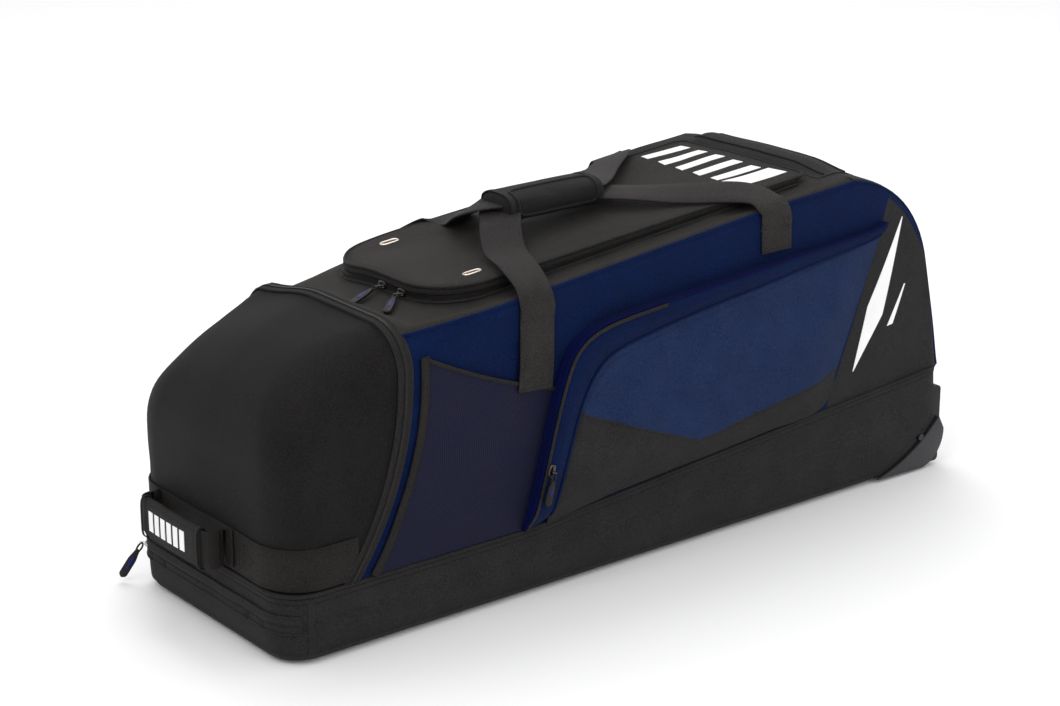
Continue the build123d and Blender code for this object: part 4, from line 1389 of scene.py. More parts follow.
def build_arch_zip():
    """Zip over the arch: one tape and welt on the dome, the other on the body."""
    half = arch_width / 2

    def band(reach, profile, finish):
        path, ways = arch_hoop(reach)
        return strip(path, ways, profile, finish)

    def lifted(reach, height):
        path, ways = arch_hoop(reach)
        return [p + w * height for p, w in zip(path, ways)], ways

    parts = [
        band(half + 3.4, flat_profile(6.0, 1.3, 1.4), tape_cloth),
        band(arch_width + 1.5, round_profile(2.0, 8, 1.2), charcoal),
    ]
    place(joined("arch_zip_body", parts), "bag", "zip_tape", "arch_zip")
    place(teeth("arch_zip_coil", [lifted(half, 2.6)]), "bag", "zip_tape")
    parts = [
        band(half - 3.8, flat_profile(6.6, 1.3, 0.7), tape_cloth),
        band(-1.0, round_profile(1.6, 8, 0.4), charcoal),
    ]
    place(joined("arch_zip_dome", parts), "dome", "zip_tape")
    lines = [lifted(-5.5, 1.0), lifted(half - 4.6, 2.2)]
    place(stitches("arch_stitches_dome", lines, thread_black, seed=11), "dome", "zip_tape")
    lines = [lifted(half + 4.6, 3.0)]
    place(stitches("arch_stitches_body", lines, thread_black, seed=12), "bag", "zip_tape")


# ---------------------------------------------------------------- lid

def lid_loop(inset, height):
    """Outline of the lid drawn in by inset, at a height that follows x."""
    runs = ring_loop(
        lid_low.x + inset, lid_high.x - inset, lid_high.y - inset,
        max(lid_radius - inset, 6), max(lid_rear_radius - inset, 3), 30, 60,
    )
    loop = [p for run in runs for p in run[:-1]]
    return [Vector((p.x, p.y, height(p.x))) for p in loop]


def lid_surface_z(x, y):
    """Crowned top of the padded lid."""
    from_edge = min(x - lid_low.x, lid_high.x - x, lid_high.y - abs(y))
    puff = 0.8 * smooth(from_edge / 30) - 2.6 * smooth((from_edge - 20) / 60)
    return lid_z(x) + puff + ripple((x, y, 0), 85, 2.6, 6.0) * smooth(from_edge / 30)


def build_lid():
    """Padded lid with a raised wall, and the zip between it and the body."""
    centre_x = (lid_low.x + lid_high.x) / 2

    def shrunk(scale, depth):
        spots = [(mix(centre_x, p.x, scale), p.y * scale) for p in lid_loop(16, lid_z)]
        return [Vector((x, y, lid_surface_z(x, y) - depth)) for x, y in spots]

    rings = [shrunk(scale, 7) for scale in (0.06, 0.3, 0.55, 0.8, 1.0)]
    for inset, height in (
        (5.0, lambda x: lid_z(x) - 5), (4.0, lambda x: lid_zip_z(x) + 2.0),
        (1.0, lambda x: lid_zip_z(x) + 1.5), (0.0, lambda x: lid_zip_z(x) + 2.4),
        (-0.4, lambda x: mix(lid_zip_z(x), lid_z(x), 0.6)), (0.6, lambda x: lid_z(x) - 1.2),
        (2.2, lambda x: lid_z(x) - 0.2), (5.0, lambda x: lid_z(x) + 0.3),
    ):
        rings.append(lid_loop(inset, height))
    for inset in (9.0, 13.0):
        rings.append([Vector((p.x, p.y, lid_surface_z(p.x, p.y))) for p in lid_loop(inset, lid_z)])
    for scale in (1.0, 0.92, 0.84, 0.76, 0.68, 0.6, 0.52, 0.44, 0.36, 0.28, 0.2, 0.13, 0.06):
        rings.append(shrunk(scale, 0))
    count = len(rings[0])
    lid = grid_piece("lid_cloth", rings, loop_columns=True)
    bm = bmesh.new()
    bm.from_mesh(lid.data)
    bm.verts.ensure_lookup_table()
    for first in (0, (len(rings) - 1) * count):
        bm.faces.new([bm.verts[first + k] for k in range(count)])
    bm.to_mesh(lid.data)
    bm.free()
    tidy(lid, recalculate=True)
    # The lid gets the lighter deck cloth, a painted highlight of light from above.
    paint(lid, deck_painted_highlight_cloth)
    tree = mesh_tree(lid)
    place(lid, "lid", "shell_fabric", "lid_panel", "lid_rim")

    def open_loop(inset, height):
        """Outline without its straight run along the hinge."""
        loop = lid_loop(inset, height)
        rear = [k for k, p in enumerate(loop) if p.x > lid_high.x - 14]
        return loop[rear[-1] + 1:] + loop[:rear[0]]

    def ways_of(path):
        ways = []
        for k, p in enumerate(path):
            run = (path[min(k + 1, len(path) - 1)] - path[max(k - 1, 0)]).normalized()
            way = Vector((run.y, -run.x, 0))
            ways.append(way if way.dot(p - Vector((centre_x, 0, 0))) > 0 else -way)
        return ways

    def side_band(inset, height, profile, finish):
        path = open_loop(inset, height)
        return strip(path, ways_of(path), profile, finish)

    upwards = (0, 0, 1)
    top_edge = lid_loop(0.4, lambda x: lid_z(x) - 0.6)
    cord = strip(top_edge, upwards, round_profile(1.9), charcoal, loop=True)
    tape = side_band(
        -0.2, lambda x: mix(lid_zip_z(x), lid_z(x), 0.42), flat_profile(4.6, 1.2), tape_cloth
    )
    place(joined("lid_edge", [cord, tape]), "lid", "zip_tape")
    path = open_loop(-0.4, lid_zip_z)
    ways = ways_of(path)
    lifted = [p + w * 1.2 for p, w in zip(path, ways)]
    place(teeth("lid_zip_coil", [(lifted, ways)]), "bag", "zip_tape")

    wall = side_band(
        2.2, lambda x: mix(deck_z(x), lid_zip_z(x), 0.5) - 2.5, flat_profile(11.0, 3.2, -1.6), charcoal
    )
    low_tape = side_band(-0.2, lambda x: lid_zip_z(x) - 3.4, flat_profile(4.2, 1.2), tape_cloth)
    foot = open_loop(-2.4, lambda x: deck_z(x) + 1.2)
    welt = strip(foot, upwards, round_profile(1.7), charcoal)
    place(joined("lid_zip_wall", [wall, low_tape, welt]), "bag", "zip_tape", "lid_zip")

    path = [Vector((p.x, p.y, lid_surface_z(p.x, p.y) + 0.2)) for p in lid_loop(6.5, lid_z)]
    lines = [(path + path[:1], upwards)]
    place(stitches("lid_stitches", lines, thread_black, seed=21), "lid", "shell_fabric")
    lines = [(open_loop(-7.0, lambda x: deck_z(x) + 1.0), upwards)]
    place(stitches("deck_stitches", lines, thread_black, seed=22), "bag", "shell_fabric")
    return tree


def build_eyelets(tree):
    """Two slotted metal eyelets near the lid's front, with a dark sheet in each slot as painted shade of the
    opening.
    """
    slot_half, bend = 6.6, 4.0
    for name, _ in SIDES:
        centre = middle_of(f"eyelet_{name}")
        path = arc_points((centre.x + slot_half, centre.y), bend, -90, 90, 10)
        path += arc_points((centre.x - slot_half, centre.y), bend, 90, 270, 10)
        ring, hole = [
            [on_surface(tree, (x, y, far_above), (0, 0, -1), lift) for x, y in path]
            for lift in (0.2, 0.25)
        ]
        metal = strip(ring, (0, 0, 1), round_profile(1.15, 10), pale_metal, loop=True)
        # Flat black sheet filling the eyelet's slot: painted shade of the dark opening.
        dark = make_mesh("eyelet_dark", hole, [tuple(range(len(hole)))], [(p.x, p.y) for p in hole])
        face_out(dark, (centre.x, centre.y, 0))
        paint(dark, housing_plastic)
        thicken(dark, 0.5)
        place(joined(f"eyelet_metal_{name}", [metal, dark]), "lid", "silver", f"eyelet_{name}")


# ---------------------------------------------------------------- side pockets

pocket_front = [
    (front_x + 291, 79), (front_x + 308, 143), (front_x + 324, 206), (front_x + 338, 248),
    (front_x + 352, 270), (front_x + 376, 284), (front_x + 420, 292), (front_x + 517, 299),
    (front_x + 648, 308), (front_x + 770, 316), (front_x + 808, 322),
]
panel_front = [
    (front_x + 320, 92), (front_x + 337, 147), (front_x + 353, 199), (front_x + 366, 227),
    (front_x + 382, 246), (front_x + 402, 257), (front_x + 436, 265), (front_x + 517, 278),
    (front_x + 648, 292), (front_x + 760, 304), (front_x + 795, 310),
]
pocket_bottom = [
    (front_x + 322, 79), (front_x + 400, 91), (front_x + 480, 98), (front_x + 560, 104),
    (front_x + 640, 111), (front_x + 722, 117), (front_x + 741, 165), (front_x + 760, 212),
    (front_x + 779, 258), (front_x + 791, 286), (front_x + 801, 310),
]
block_line = [
    (front_x + 330, 222), (front_x + 366, 194), (front_x + 521, 131), (front_x + 752, 165),
    (front_x + 900, 188),
]


def curve_through(corners, count):
    """Smooth side-view line through a few places, evenly spaced."""
    fine = soft_path([Vector((x, 0, z)) for x, z in corners], 14)
    return spaced_run(fine, count)


def build_pockets():
    """Stuffed side pockets: upright gusset, blue border, blue panel and black lower block."""
    count = 96
    outer = curve_through(pocket_front, count)
    panel = curve_through(panel_front, count)
    bottom = curve_through(pocket_bottom, count)
    for name, sign in SIDES:
        grid = []
        recipe = [(0, 0.0, 0.4), (0, 0.0, 6), (0, 0.0, 11), (0, 0.03, 14), (0, 0.10, 16), (0, 0.25, 17.5),
                  (0, 0.55, 18.5), (0, 0.8, 18), (0, 0.94, 16.6), (0, 1.0, 16.0)]
        for _, share, depth in recipe:
            line = []
            for k in range(count + 1):
                p = mix(outer[k], panel[k], share)
                fade = mix(1.0, 0.55, smooth((k / count - 0.55) / 0.45))
                low = smooth((p.z - seam_z(p.x)) / 26)
                reach = depth * fade * mix(0.45, 1.0, low)
                line.append(Vector((p.x, -side_out(p.x, p.z) - reach, p.z)))
            grid.append(line)
        for row_share in (
            0.03, 0.07, 0.12, 0.18, 0.25, 0.32, 0.4, 0.48, 0.56, 0.64, 0.72, 0.8, 0.87, 0.93, 0.97, 1.0,
        ):
            line = []
            for k in range(count + 1):
                p = mix(panel[k], bottom[k], row_share)
                fade = mix(1.0, 0.55, smooth((k / count - 0.55) / 0.45))
                low = smooth((p.z - seam_z(p.x)) / 30)
                back = smooth(((rear_x - 192) + (p.z - 115) * 0.405 - p.x) / 60)
                reach = (17.5 + 2.0 * sin(pi * row_share)) * fade * mix(0.3, 1.0, low) * mix(0.25, 1.0, back)
                reach += ripple(p, 52, 3.0, 12.0 + sign) * low * back
                reach += ripple((p.x + p.z, 0, (p.z - p.x) * 0.25), 34, 2.4, 4.0) * low * back
                line.append(Vector((p.x, -side_out(p.x, p.z) - max(reach, 1.2), p.z)))
            grid.append(line)
        grid = [[Vector((p.x, p.y * -sign, p.z)) for p in line] for line in grid]
        piece = grid_piece(f"pocket_cloth_{name}", grid)
        columns = count + 1
        paint(piece, navy)
        for finish in (deep_blue, panel_blue, charcoal):
            piece.data.materials.append(finish)
        for face in piece.data.polygons:
            line = min(face.vertices) // columns
            face.material_index = 1 if line < 3 else (0 if line < 9 else 2)
        cut_along(piece, *block_line)
        for face in piece.data.polygons:
            p = face.center / MM
            if face.material_index == 2 and p.z < line_height(block_line, p.x):
                face.material_index = 3
        tidy(piece)
        face_out(piece, (0, 0, 190))
        thicken(piece, 1.6, lining)
        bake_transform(piece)
        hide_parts(f"side_pocket_{name}")

        def rim_at(corner_line, depth, start=0, end=None):
            spots = []
            for k, p in list(enumerate(corner_line))[start:end]:
                fade = mix(1.0, 0.55, smooth((k / count - 0.55) / 0.45))
                low = smooth((p.z - seam_z(p.x)) / 26)
                reach = depth * fade * mix(0.45, 1.0, low)
                spots.append(Vector((p.x, sign * (side_out(p.x, p.z) + reach), p.z)))
            return spots
        out = (0, sign, 0)
        zip_path = [mix(a, b, 0.09) for a, b in zip(rim_at(outer, 16.2), rim_at(panel, 16.2))]
        zip_path = zip_path[:count // 2]
        tape = paint(swept("pocket_tape", zip_path, out, flat_profile(4.2, 1.0, 0.4)), tape_cloth)
        piped = paint(swept("panel_piping", rim_at(panel, 16.8), out, round_profile(1.7, 8)), navy)
        edge = paint(swept("pocket_edge", rim_at(outer, 14.0), out, round_profile(1.5, 6)), deep_blue)
        trim = joined(f"pocket_trim_{name}", [tape, piped, edge])
        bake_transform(trim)
        surface = mesh_tree(piece)
        lines = []
        inner = [mix(a, b, 0.04) for a, b in zip(panel, bottom)]
        for path in (
            [mix(a, b, 0.86) for a, b in zip(outer, panel)], inner,
            even([Vector((x, 0, z - 3)) for x, z in block_line[:1] + block_line[1:]], 8),
        ):
            line = []
            for p in path:
                hit, _, _, _ = surface.ray_cast(Vector((p.x, sign * 300, p.z)), Vector((0, -sign, 0)))
                if hit is not None and abs(hit.y) > half_width + 1 and inside_pocket(p):
                    line.append(hit + Vector((0, sign * 0.25, 0)))
            lines.append((line, out))
        thread = stitches(f"pocket_stitches_{name}", lines, thread_blue, seed=31)
        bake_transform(thread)


def inside_pocket(p):
    """True in front of the pocket's slanted rear seam."""
    return p.x < (rear_x - 194) + (p.z - 115) * 0.405


def line_height(line, x):
    """Height of a side-view line at x."""
    for (ax, az), (bx, bz) in zip(line, line[1:]):
        if x <= bx:
            return mix(az, bz, (x - ax) / (bx - ax))
    return line[-1][1]


# ---------------------------------------------------------------- mesh pockets

def build_mesh_pockets():
    """Mesh pocket between the arch zip and the side pocket, with bound edges."""
    def front_edge(z):
        return Vector((arch_x(z) + 27 + 4 * smooth((150 - z) / 70), 0, z))
    rear_line = curve_through(pocket_front[:4], 60)
    for name, sign in SIDES:
        rows = 26
        front_run = spaced_run([front_edge(z) for z in steps(seam_front + 2, 296, 40)], rows)
        top_rear = Vector((front_x + 333, 0, 229))
        rear_run = spaced_run([p for p in rear_line if p.z < 226] + [top_rear], rows)
        grid = []
        for i in range(rows + 1):
            line = []
            for j in range(31):
                share = j / 30
                p = mix(front_run[i], rear_run[i], share)
                p.z -= 5.0 * sin(pi * share) * smooth((i / rows - 0.6) / 0.4)
                loose = sin(pi * share) * sin(pi * min(i / rows * 0.85, 1.0))
                out = side_out(p.x, p.z) + 1.2 + 5.5 * loose + ripple(p, 36, 2.4, 9.0) * loose
                line.append(Vector((p.x, sign * out, p.z)))
            grid.append(line)
        net = grid_piece(f"mesh_cloth_{name}", grid)
        paint(net, mesh_cloth)
        face_out(net, bag_middle)
        thicken(net, 0.9)
        place(net, "bag", "mesh", f"mesh_pocket_{name}")
        out = (0, sign, 0)
        front_path = [line[0] + Vector((2, sign * 0.8, 0)) for line in grid]
        hem_path = [p + Vector((0, sign * 0.5, -1.5)) for p in grid[-1]]
        parts = [
            paint(swept("front_binding", front_path, out, flat_profile(10, 1.4)), binding_cloth),
            paint(swept("hem_binding", hem_path, out, flat_profile(4.5, 1.4)), tape_cloth),
        ]
        place(joined(f"mesh_binding_{name}", parts), "bag", "mesh")
        lines = []
        for shift in (-4.2, 4.2):
            lines.append(([p + Vector((shift, sign * 1.8, 0)) for p in front_path], out))
        lines.append(([p + Vector((0, sign * 1.7, -1)) for p in hem_path], out))
        place(stitches(f"mesh_stitches_{name}", lines, thread_black, seed=41), "bag", "mesh")


# ---------------------------------------------------------------- marks

def build_marks(lid_tree):
    """Plain white blades on the rear side panels and plain bars on the lid."""
    for name, sign in SIDES:
        tree = mesh_tree(bpy.data.objects[f"side_cloth_{name}"])
        foot, tip = Vector((rear_x - 152, 0, 150)), Vector((rear_x - 84, 0, 322))
        belly = mix(foot, tip, 0.4)
        near, far = belly + Vector((-10, 0, 6)), belly + Vector((15, 0, -8))
        low_end, high_end = far + Vector((9, 0, -16)), far + Vector((34, 0, 30))
        blade = [
            [(foot.x, foot.z), (foot.x + 1, foot.z), (far.x, far.z), (near.x, near.z)],
            [(near.x, near.z), (far.x, far.z), (tip.x + 1, tip.z), (tip.x, tip.z)],
            [(low_end.x, low_end.z), (low_end.x + 9, low_end.z + 1), (high_end.x + 2, high_end.z),
             (high_end.x, high_end.z)],
        ]
        print_on(
            f"side_mark_{name}", tree, blade,
            lambda u, v: ((u, sign * 300, v), (0, -sign, 0)), "bag", "navy_fabric",
        )
    bars = []
    first = lid_high.x - 88
    bars.append([(first, -84), (first + 78, -84), (first + 74, -58), (first + 4, -52)])
    for k in range(5):
        y = -44 + k * 30
        bars.append([(first + 10, y), (first + 70, y - 6), (first + 68, y + 8), (first + 12, y + 14)])
    print_on("lid_bars", lid_tree, bars, lambda u, v: ((u, v, 500), (0, 0, -1)), "lid", "shell_fabric")


# ---------------------------------------------------------------- carry straps

def strap_path(sign, grip_z):
    """Free length of one carry strap: up from the front leg, through the wrap, down to the rear leg."""
    front_leg, rear_leg = span("strap_leg_front_left"), span("strap_leg_rear_left")
    fx = (front_leg[0].x + front_leg[1].x) / 2
    rx = (rear_leg[0].x + rear_leg[1].x) / 2
    y0 = sign * (half_width + 1.6)
    if sign < 0:
        over = [
            ((fx + 1, sign * (half_width - 7), deck_z(fx) + 8), (0, sign, 0.5)),
            ((fx + 6, sign * 110, lid_z(fx) + 6), (-0.1, sign * 0.55, 1)),
            ((fx + 24, sign * 62, lid_z(fx) + 10), (-0.25, sign * 0.3, 1)),
        ]
    else:
        over = [
            ((fx + 18, sign * (half_width - 9), deck_z(fx) + 1), (0, sign, 0.7)),
            ((fx + 58, sign * 112, lid_z(fx) + 2), (-0.1, sign * 0.6, 1)),
            ((wrap_low.x + 6, sign * 66, lid_z(fx) + 10), (-0.2, sign * 0.3, 1)),
        ]
    spots = [
        ((fx, y0 + sign * 2, front_leg[1].z - 6), (0, sign, 0)),
        ((fx, y0 + sign * 1.5, front_leg[1].z + 6), (0, sign, 0.1)),
        *over,
        ((wrap_low.x - 8, sign * 24, grip_z - 5), (-0.35, sign * 0.25, 1)),
        ((wrap_low.x + 18, sign * 4, grip_z), (0, 0, 1)),
        ((wrap_high.x - 18, sign * 4, grip_z), (0, 0, 1)),
        ((wrap_high.x + 12, sign * 16, grip_z - 2), (0.15, sign * 0.2, 1)),
        ((wrap_high.x + 62, sign * 62, lid_z(wrap_high.x + 62) + 9), (0.2, sign * 0.45, 1)),
        ((rx - 16, sign * 112, lid_z(rx) + 4), (0.2, sign * 0.6, 1)),
        ((rx - 2, sign * (half_width - 4), deck_z(rx) + 4), (0.1, sign, 0.5)),
        ((rx, y0 + sign * 1.5, rear_leg[1].z + 4), (0, sign, 0.05)),
        ((rx, y0, rear_leg[1].z - 6), (0, sign, 0)),
    ]
    path = soft_path([p for p, _ in spots], 10)
    ways = soft_path([Vector(w).normalized() for _, w in spots], 10)
    return path, ways


def build_straps():
    """Carry straps, their sewn legs and the padded wrap that holds them together."""
    grip = (wrap_low.z + wrap_high.z) / 2
    half = 17
    for name, sign in SIDES:
        path, ways = strap_path(sign, grip + sign * 3)
        strap = swept(f"strap_web_{name}", path, ways, flat_profile(strap_width, webbing, -webbing / 2))
        paint(strap, webbing_cloth)
        place(strap, f"handle_{name}", "webbing", f"carry_strap_{name}")
        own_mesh(strap)
        outward = (0, sign, 0)
        lines = []
        for where, tilt, reach in (("front", -7, 3.5), ("rear", 0, 0.4)):
            node = f"strap_leg_{where}_{name}"
            low, high = span(node)

            def lean(z):
                return tilt * (high.z - z) / (high.z - low.z)

            x = (low.x + high.x) / 2
            leg = []
            for z in steps(low.z, high.z + 2, 12):
                y = side_out(x, z) + 0.8 + reach * smooth((high.z - z) / 60)
                leg.append(Vector((x + lean(z), sign * y, z)))
            foot = swept(f"strap_foot_{where}_{name}", leg, outward, flat_profile(strap_width, webbing))
            paint(foot, webbing_cloth)
            place(foot, "bag", "webbing", node)
            bottom, top = low.z + 4, min(low.z + 34, high.z - 4)
            corners = [
                (-half, bottom), (half, bottom), (half, top), (-half, top), (-half, bottom), (half, top),
            ]
            for a, b in zip(corners, corners[1:]):
                line = []
                for share in steps(0, 1, 8):
                    u, z = mix(a[0], b[0], share), mix(a[1], b[1], share)
                    y = leg_point(leg, z) + sign * (webbing + 0.2)
                    line.append(Vector((x + u + lean(z), y, z)))
                lines.append((line, outward))
        place(stitches(f"strap_stitches_{name}", lines, thread_black, seed=51), "bag", "webbing")
    build_wrap()


def leg_point(leg, z):
    """Sideways place of a strap leg at a height."""
    for a, b in zip(leg, leg[1:]):
        if z <= b.z:
            return mix(a.y, b.y, (z - a.z) / (b.z - a.z))
    return leg[-1].y


def build_wrap():
    """Padded wrap: swollen sleeve with bound ends, simulated as pressed cloth."""
    centre_z = (wrap_low.z + wrap_high.z) / 2
    half_y = (wrap_high.y - wrap_low.y) / 2 + 6
    half_z = (wrap_high.z - wrap_low.z) / 2 + 1
    rounded = []
    for k in range(32):
        turn = 2 * pi * k / 32
        c, s = cos(turn), sin(turn)
        rounded.append((
            (abs(c) ** 0.62) * (1 if c > 0 else -1) * (half_y - 1.5),
            (abs(s) ** 0.72) * (1 if s > 0 else -1) * (half_z - 2.5),
        ))
    path = [(x, 0, centre_z) for x in steps(wrap_low.x + 3, wrap_high.x - 3, 30)]
    wrap = paint(swept("wrap_padding", path, (0, 0, 1), rounded), padding_cloth)
    for vertex in wrap.data.vertices:
        p = vertex.co / MM
        end = min(p.x - wrap_low.x, wrap_high.x - p.x)
        pinch = mix(0.90, 1.0, smooth(end / 14))
        swell = 1 + 0.02 * ripple(p, 24, 1.0)
        vertex.co.y = p.y * pinch * swell * MM
        vertex.co.z = (centre_z + (p.z - centre_z) * pinch * swell) * MM
    inflate(wrap, 4.0)
    place(wrap, "handle_left", "padding", "handle_wrap")
    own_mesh(wrap)
    surface = mesh_tree(wrap)
    rings = []
    for x in (wrap_low.x + 8, wrap_high.x - 8):
        ring, ways = [], []
        for k in range(36):
            turn = 2 * pi * k / 36
            way = Vector((0, cos(turn), sin(turn)))
            start = Vector((x, 0, centre_z)) + way * 80
            ring.append(on_surface(surface, start, -way, 0.2))
            ways.append(way)
        rings.append(paint(swept("wrap_binding", ring, ways, flat_profile(7, 1.3), loop=True), charcoal))
    panel, panel_ways = [], []
    for run in ring_loop(wrap_low.x + 15, wrap_high.x - 13, 38, 13, 13, 12, 30):
        for spot in run[:-1]:
            turn = radians(-152 + spot.y * 1.15)
            way = Vector((0, cos(turn), -sin(turn)))
            start = Vector((spot.x, 0, centre_z)) + way * 80
            panel.append(on_surface(surface, start, -way, 0.2))
            panel_ways.append(way)
    rings.append(paint(swept("wrap_panel", panel, panel_ways, round_profile(1.7, 8), loop=True), charcoal))
    bound = joined("wrap_bindings", rings)
    place(bound, "handle_left", "padding")
    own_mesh(bound)


def inflate(piece, cap):
    """Blow a pad up a little as cloth, and keep no point further than cap from where it began."""
    remesh = piece.modifiers.new("voxels", "REMESH")
    remesh.mode = "VOXEL"
    remesh.voxel_size = 0.004
    remesh.use_smooth_shade = True
    settle(piece)
    start = [v.co.copy() for v in piece.data.vertices]
    modifier = piece.modifiers.new("stuffing", "CLOTH")
    settings = modifier.settings
    settings.quality = 5
    settings.use_pressure = True
    settings.uniform_pressure_force = 4.0
    settings.effector_weights.gravity = 0.0
    scene = bpy.context.scene
    for number in range(1, 21):
        scene.frame_set(number)
    settle(piece)
    scene.frame_set(1)
    for vertex, was in zip(piece.data.vertices, start):
        moved = vertex.co - was
        if moved.length > cap * MM:
            vertex.co = was + moved.normalized() * cap * MM
    rounder = piece.modifiers.new("rounding", "SUBSURF")
    rounder.levels = rounder.render_levels = 1
    settle(piece)
    piece.data.shade_smooth()
    box_coords(piece)
    return piece


def box_coords(piece):
    """Flat coordinates for the weave on a piece that has none: seen along each face's main direction."""
    mesh = piece.data
    for layer in list(mesh.uv_layers):
        mesh.uv_layers.remove(layer)
    layer = mesh.uv_layers.new(name="cloth")
    for face in mesh.polygons:
        n = face.normal
        axis = max(range(3), key=lambda k: abs(n[k]))
        keep = [k for k in range(3) if k != axis]
        for loop in face.loop_indices:
            co = mesh.vertices[mesh.loops[loop].vertex_index].co
            layer.data[loop].uv = (co[keep[0]], co[keep[1]])


# ---------------------------------------------------------------- rear top pocket

def rear_z(x):
    """Height of the bag's round rear at x."""
    if x <= shoulder.x:
        return shoulder.z
    for a, b in zip(rear_round, rear_round[1:]):
        if x <= b.x:
            return mix(a.z, b.z, (x - a.x) / (b.x - a.x))
    return rear_round[-1].z


def build_ridge():
    """Raised pocket across the top behind the lid, with its welt."""
    rows = []
    xs = steps(0, 1, 14)
    for share in steps(0, 1, 30):
        y = mix(-ridge_high.y, ridge_high.y, share)
        end = smooth(min(share / 0.24, (1 - share) / 0.05))
        line = []
        for t in xs:
            x = mix(ridge_low.x, ridge_high.x, t)
            hump = sin(pi * min(t * 1.0, 1.0)) ** 0.55
            height = (ridge_high.z - shoulder.z - 1.5) * mix(0.12, 1.0, end) * hump
            base = top_z(min(x, shoulder.x), y)
            drop = shoulder.z - rear_z(x)
            line.append(Vector((x, y, base - drop + 0.4 + height + ripple((x, y, 0), 40, 0.8, 2.0))))
        rows.append(line)
    ridge = grid_piece("ridge_cloth", rows)
    face_out(ridge, (ridge_low.x + 20, 0, 100))
    paint(ridge, charcoal)
    tree = mesh_tree(ridge)
    thicken(ridge, 2.0, lining)
    place(ridge, "bag", "shell_fabric", "rear_pocket")
    parts = []
    across = steps(-ridge_high.y + 4, ridge_high.y - 4, 40)
    for t in (0.22, 0.78):
        x = mix(ridge_low.x, ridge_high.x, t)
        path = [on_surface(tree, (x, y, far_above), (0, 0, -1), 0.4) for y in across]
        parts.append(strip(path, (0, 0, 1), round_profile(1.6), charcoal))
    place(joined("ridge_welts", parts), "bag", "shell_fabric")


# ---------------------------------------------------------------- rear zip

def build_rear_zip():
    """Short zip across the rear panel."""
    tree = mesh_tree(bpy.data.objects["rear_cloth"])
    z = middle_of("rear_slider").z
    way = (0.96, 0, 0.28)

    def run(drop, lift):
        return [
            on_surface(tree, (rear_x + 80, y, z + drop), (-1, 0, 0), lift)
            for y in steps(22 - half_width, half_width - 22, 40)
        ]

    parts = [strip(run(drop, 0.0), way, flat_profile(6.5, 1.2), tape_cloth) for drop in (-4.3, 4.3)]
    parts += [strip(run(drop, 0.6), way, round_profile(1.5), charcoal) for drop in (-9, 9)]
    place(joined("rear_zip_tape", parts), "bag", "zip_tape")
    place(teeth("rear_zip_coil", [(run(0, 1.2), way)]), "bag", "zip_tape")


# ---------------------------------------------------------------- wheels and hard parts

def remade(node, name, finish, bevel, body, slot, segments=3):
    """Copy of a CAD node's shape with its edges softened."""
    mesh = nodes[node].data.copy()
    piece = bpy.data.objects.new(name, mesh)
    bpy.context.scene.collection.objects.link(piece)
    mesh.materials.clear()
    bm = bmesh.new()
    bm.from_mesh(mesh)
    bmesh.ops.remove_doubles(bm, verts=bm.verts, dist=0.00001)
    bmesh.ops.dissolve_limit(bm, angle_limit=radians(0.5), verts=bm.verts, edges=bm.edges)
    bmesh.ops.recalc_face_normals(bm, faces=bm.faces)
    bm.to_mesh(mesh)
    bm.free()
    soft = piece.modifiers.new("soft_edges", "BEVEL")
    soft.width = bevel * MM
    soft.segments = segments
    soft.limit_method = "ANGLE"
    soft.angle_limit = radians(35)
    settle(piece)
    piece.data.set_sharp_from_angle(angle=radians(40))
    box_coords(piece)
    paint(piece, finish)
    return place(piece, body, slot, node)


def build_wheels():
    """Housings, guards, tyres with tread and hubs, and the rubber feet."""
    for name, sign in SIDES:
        remade(f"wheel_housing_{name}", f"housing_{name}", housing_plastic, 1.5, "bag", "housing_plastic")
        remade(f"wheel_guard_{name}", f"guard_{name}", guard_plastic, 1.2, "bag", "guard_plastic")
        remade(f"wheel_hub_{name}", f"hub_{name}", hub_plastic, 0.6, f"wheel_{name}", "hub_plastic")
        build_tyre(name, sign)
    for name, sign in SIDES:
        remade(f"foot_{name}", f"rubber_foot_{name}", foot_rubber, 1.2, "bag", "foot_rubber")


def build_tyre(name, sign):
    """Rubber tyre: a turned ring with a shallow tread."""
    low, high = span(f"tyre_{name}")
    centre = (low + high) / 2
    outer = (high.z - low.z) / 2
    inner = outer - 13
    half = (high.y - low.y) / 2
    tread_depth = 1.1
    section = [
        (inner, -half + 1), (inner + 2, -half), (outer - 5, -half), (outer - 1.5, -half + 2.5),
        (outer, -half + 6), (outer, -2.2), (outer - 1.6, -1.2), (outer - 1.6, 1.2), (outer, 2.2),
        (outer, half - 6), (outer - 1.5, half - 2.5), (outer - 5, half), (inner + 2, half),
        (inner, half - 1),
    ]
    count = 96
    points, coords = [], []
    for i in range(count):
        turn = 2 * pi * i / count
        for k, (radius, side) in enumerate(section):
            if i % 4 == 0 and radius > outer - 1 and abs(side) > 3:
                radius -= tread_depth
            points.append((centre.x + radius * cos(turn), centre.y + side, centre.z + radius * sin(turn)))
            coords.append((turn * outer, k * 4))
    faces = ring_faces(count, len(section), closed=True)
    tyre = tidy(make_mesh(f"rubber_tyre_{name}", points, faces, coords), recalculate=True)
    tyre.data.set_sharp_from_angle(angle=radians(45))
    paint(tyre, tyre_rubber)
    place(tyre, f"wheel_{name}", "tyre_rubber", f"tyre_{name}")


def finish_nodes():
    """Better materials on the CAD pieces that stay."""
    kept = {"base_board": board_plastic, "divider_panel": lining}
    for name, _ in SIDES:
        kept[f"wheel_axle_{name}"] = black_steel
        kept[f"wheel_bearings_{name}"] = steel
    for node, finish in kept.items():
        mesh = nodes[node].data
        mesh.materials.clear()
        mesh.materials.append(finish)


# ---------------------------------------------------------------- sliders and pulls

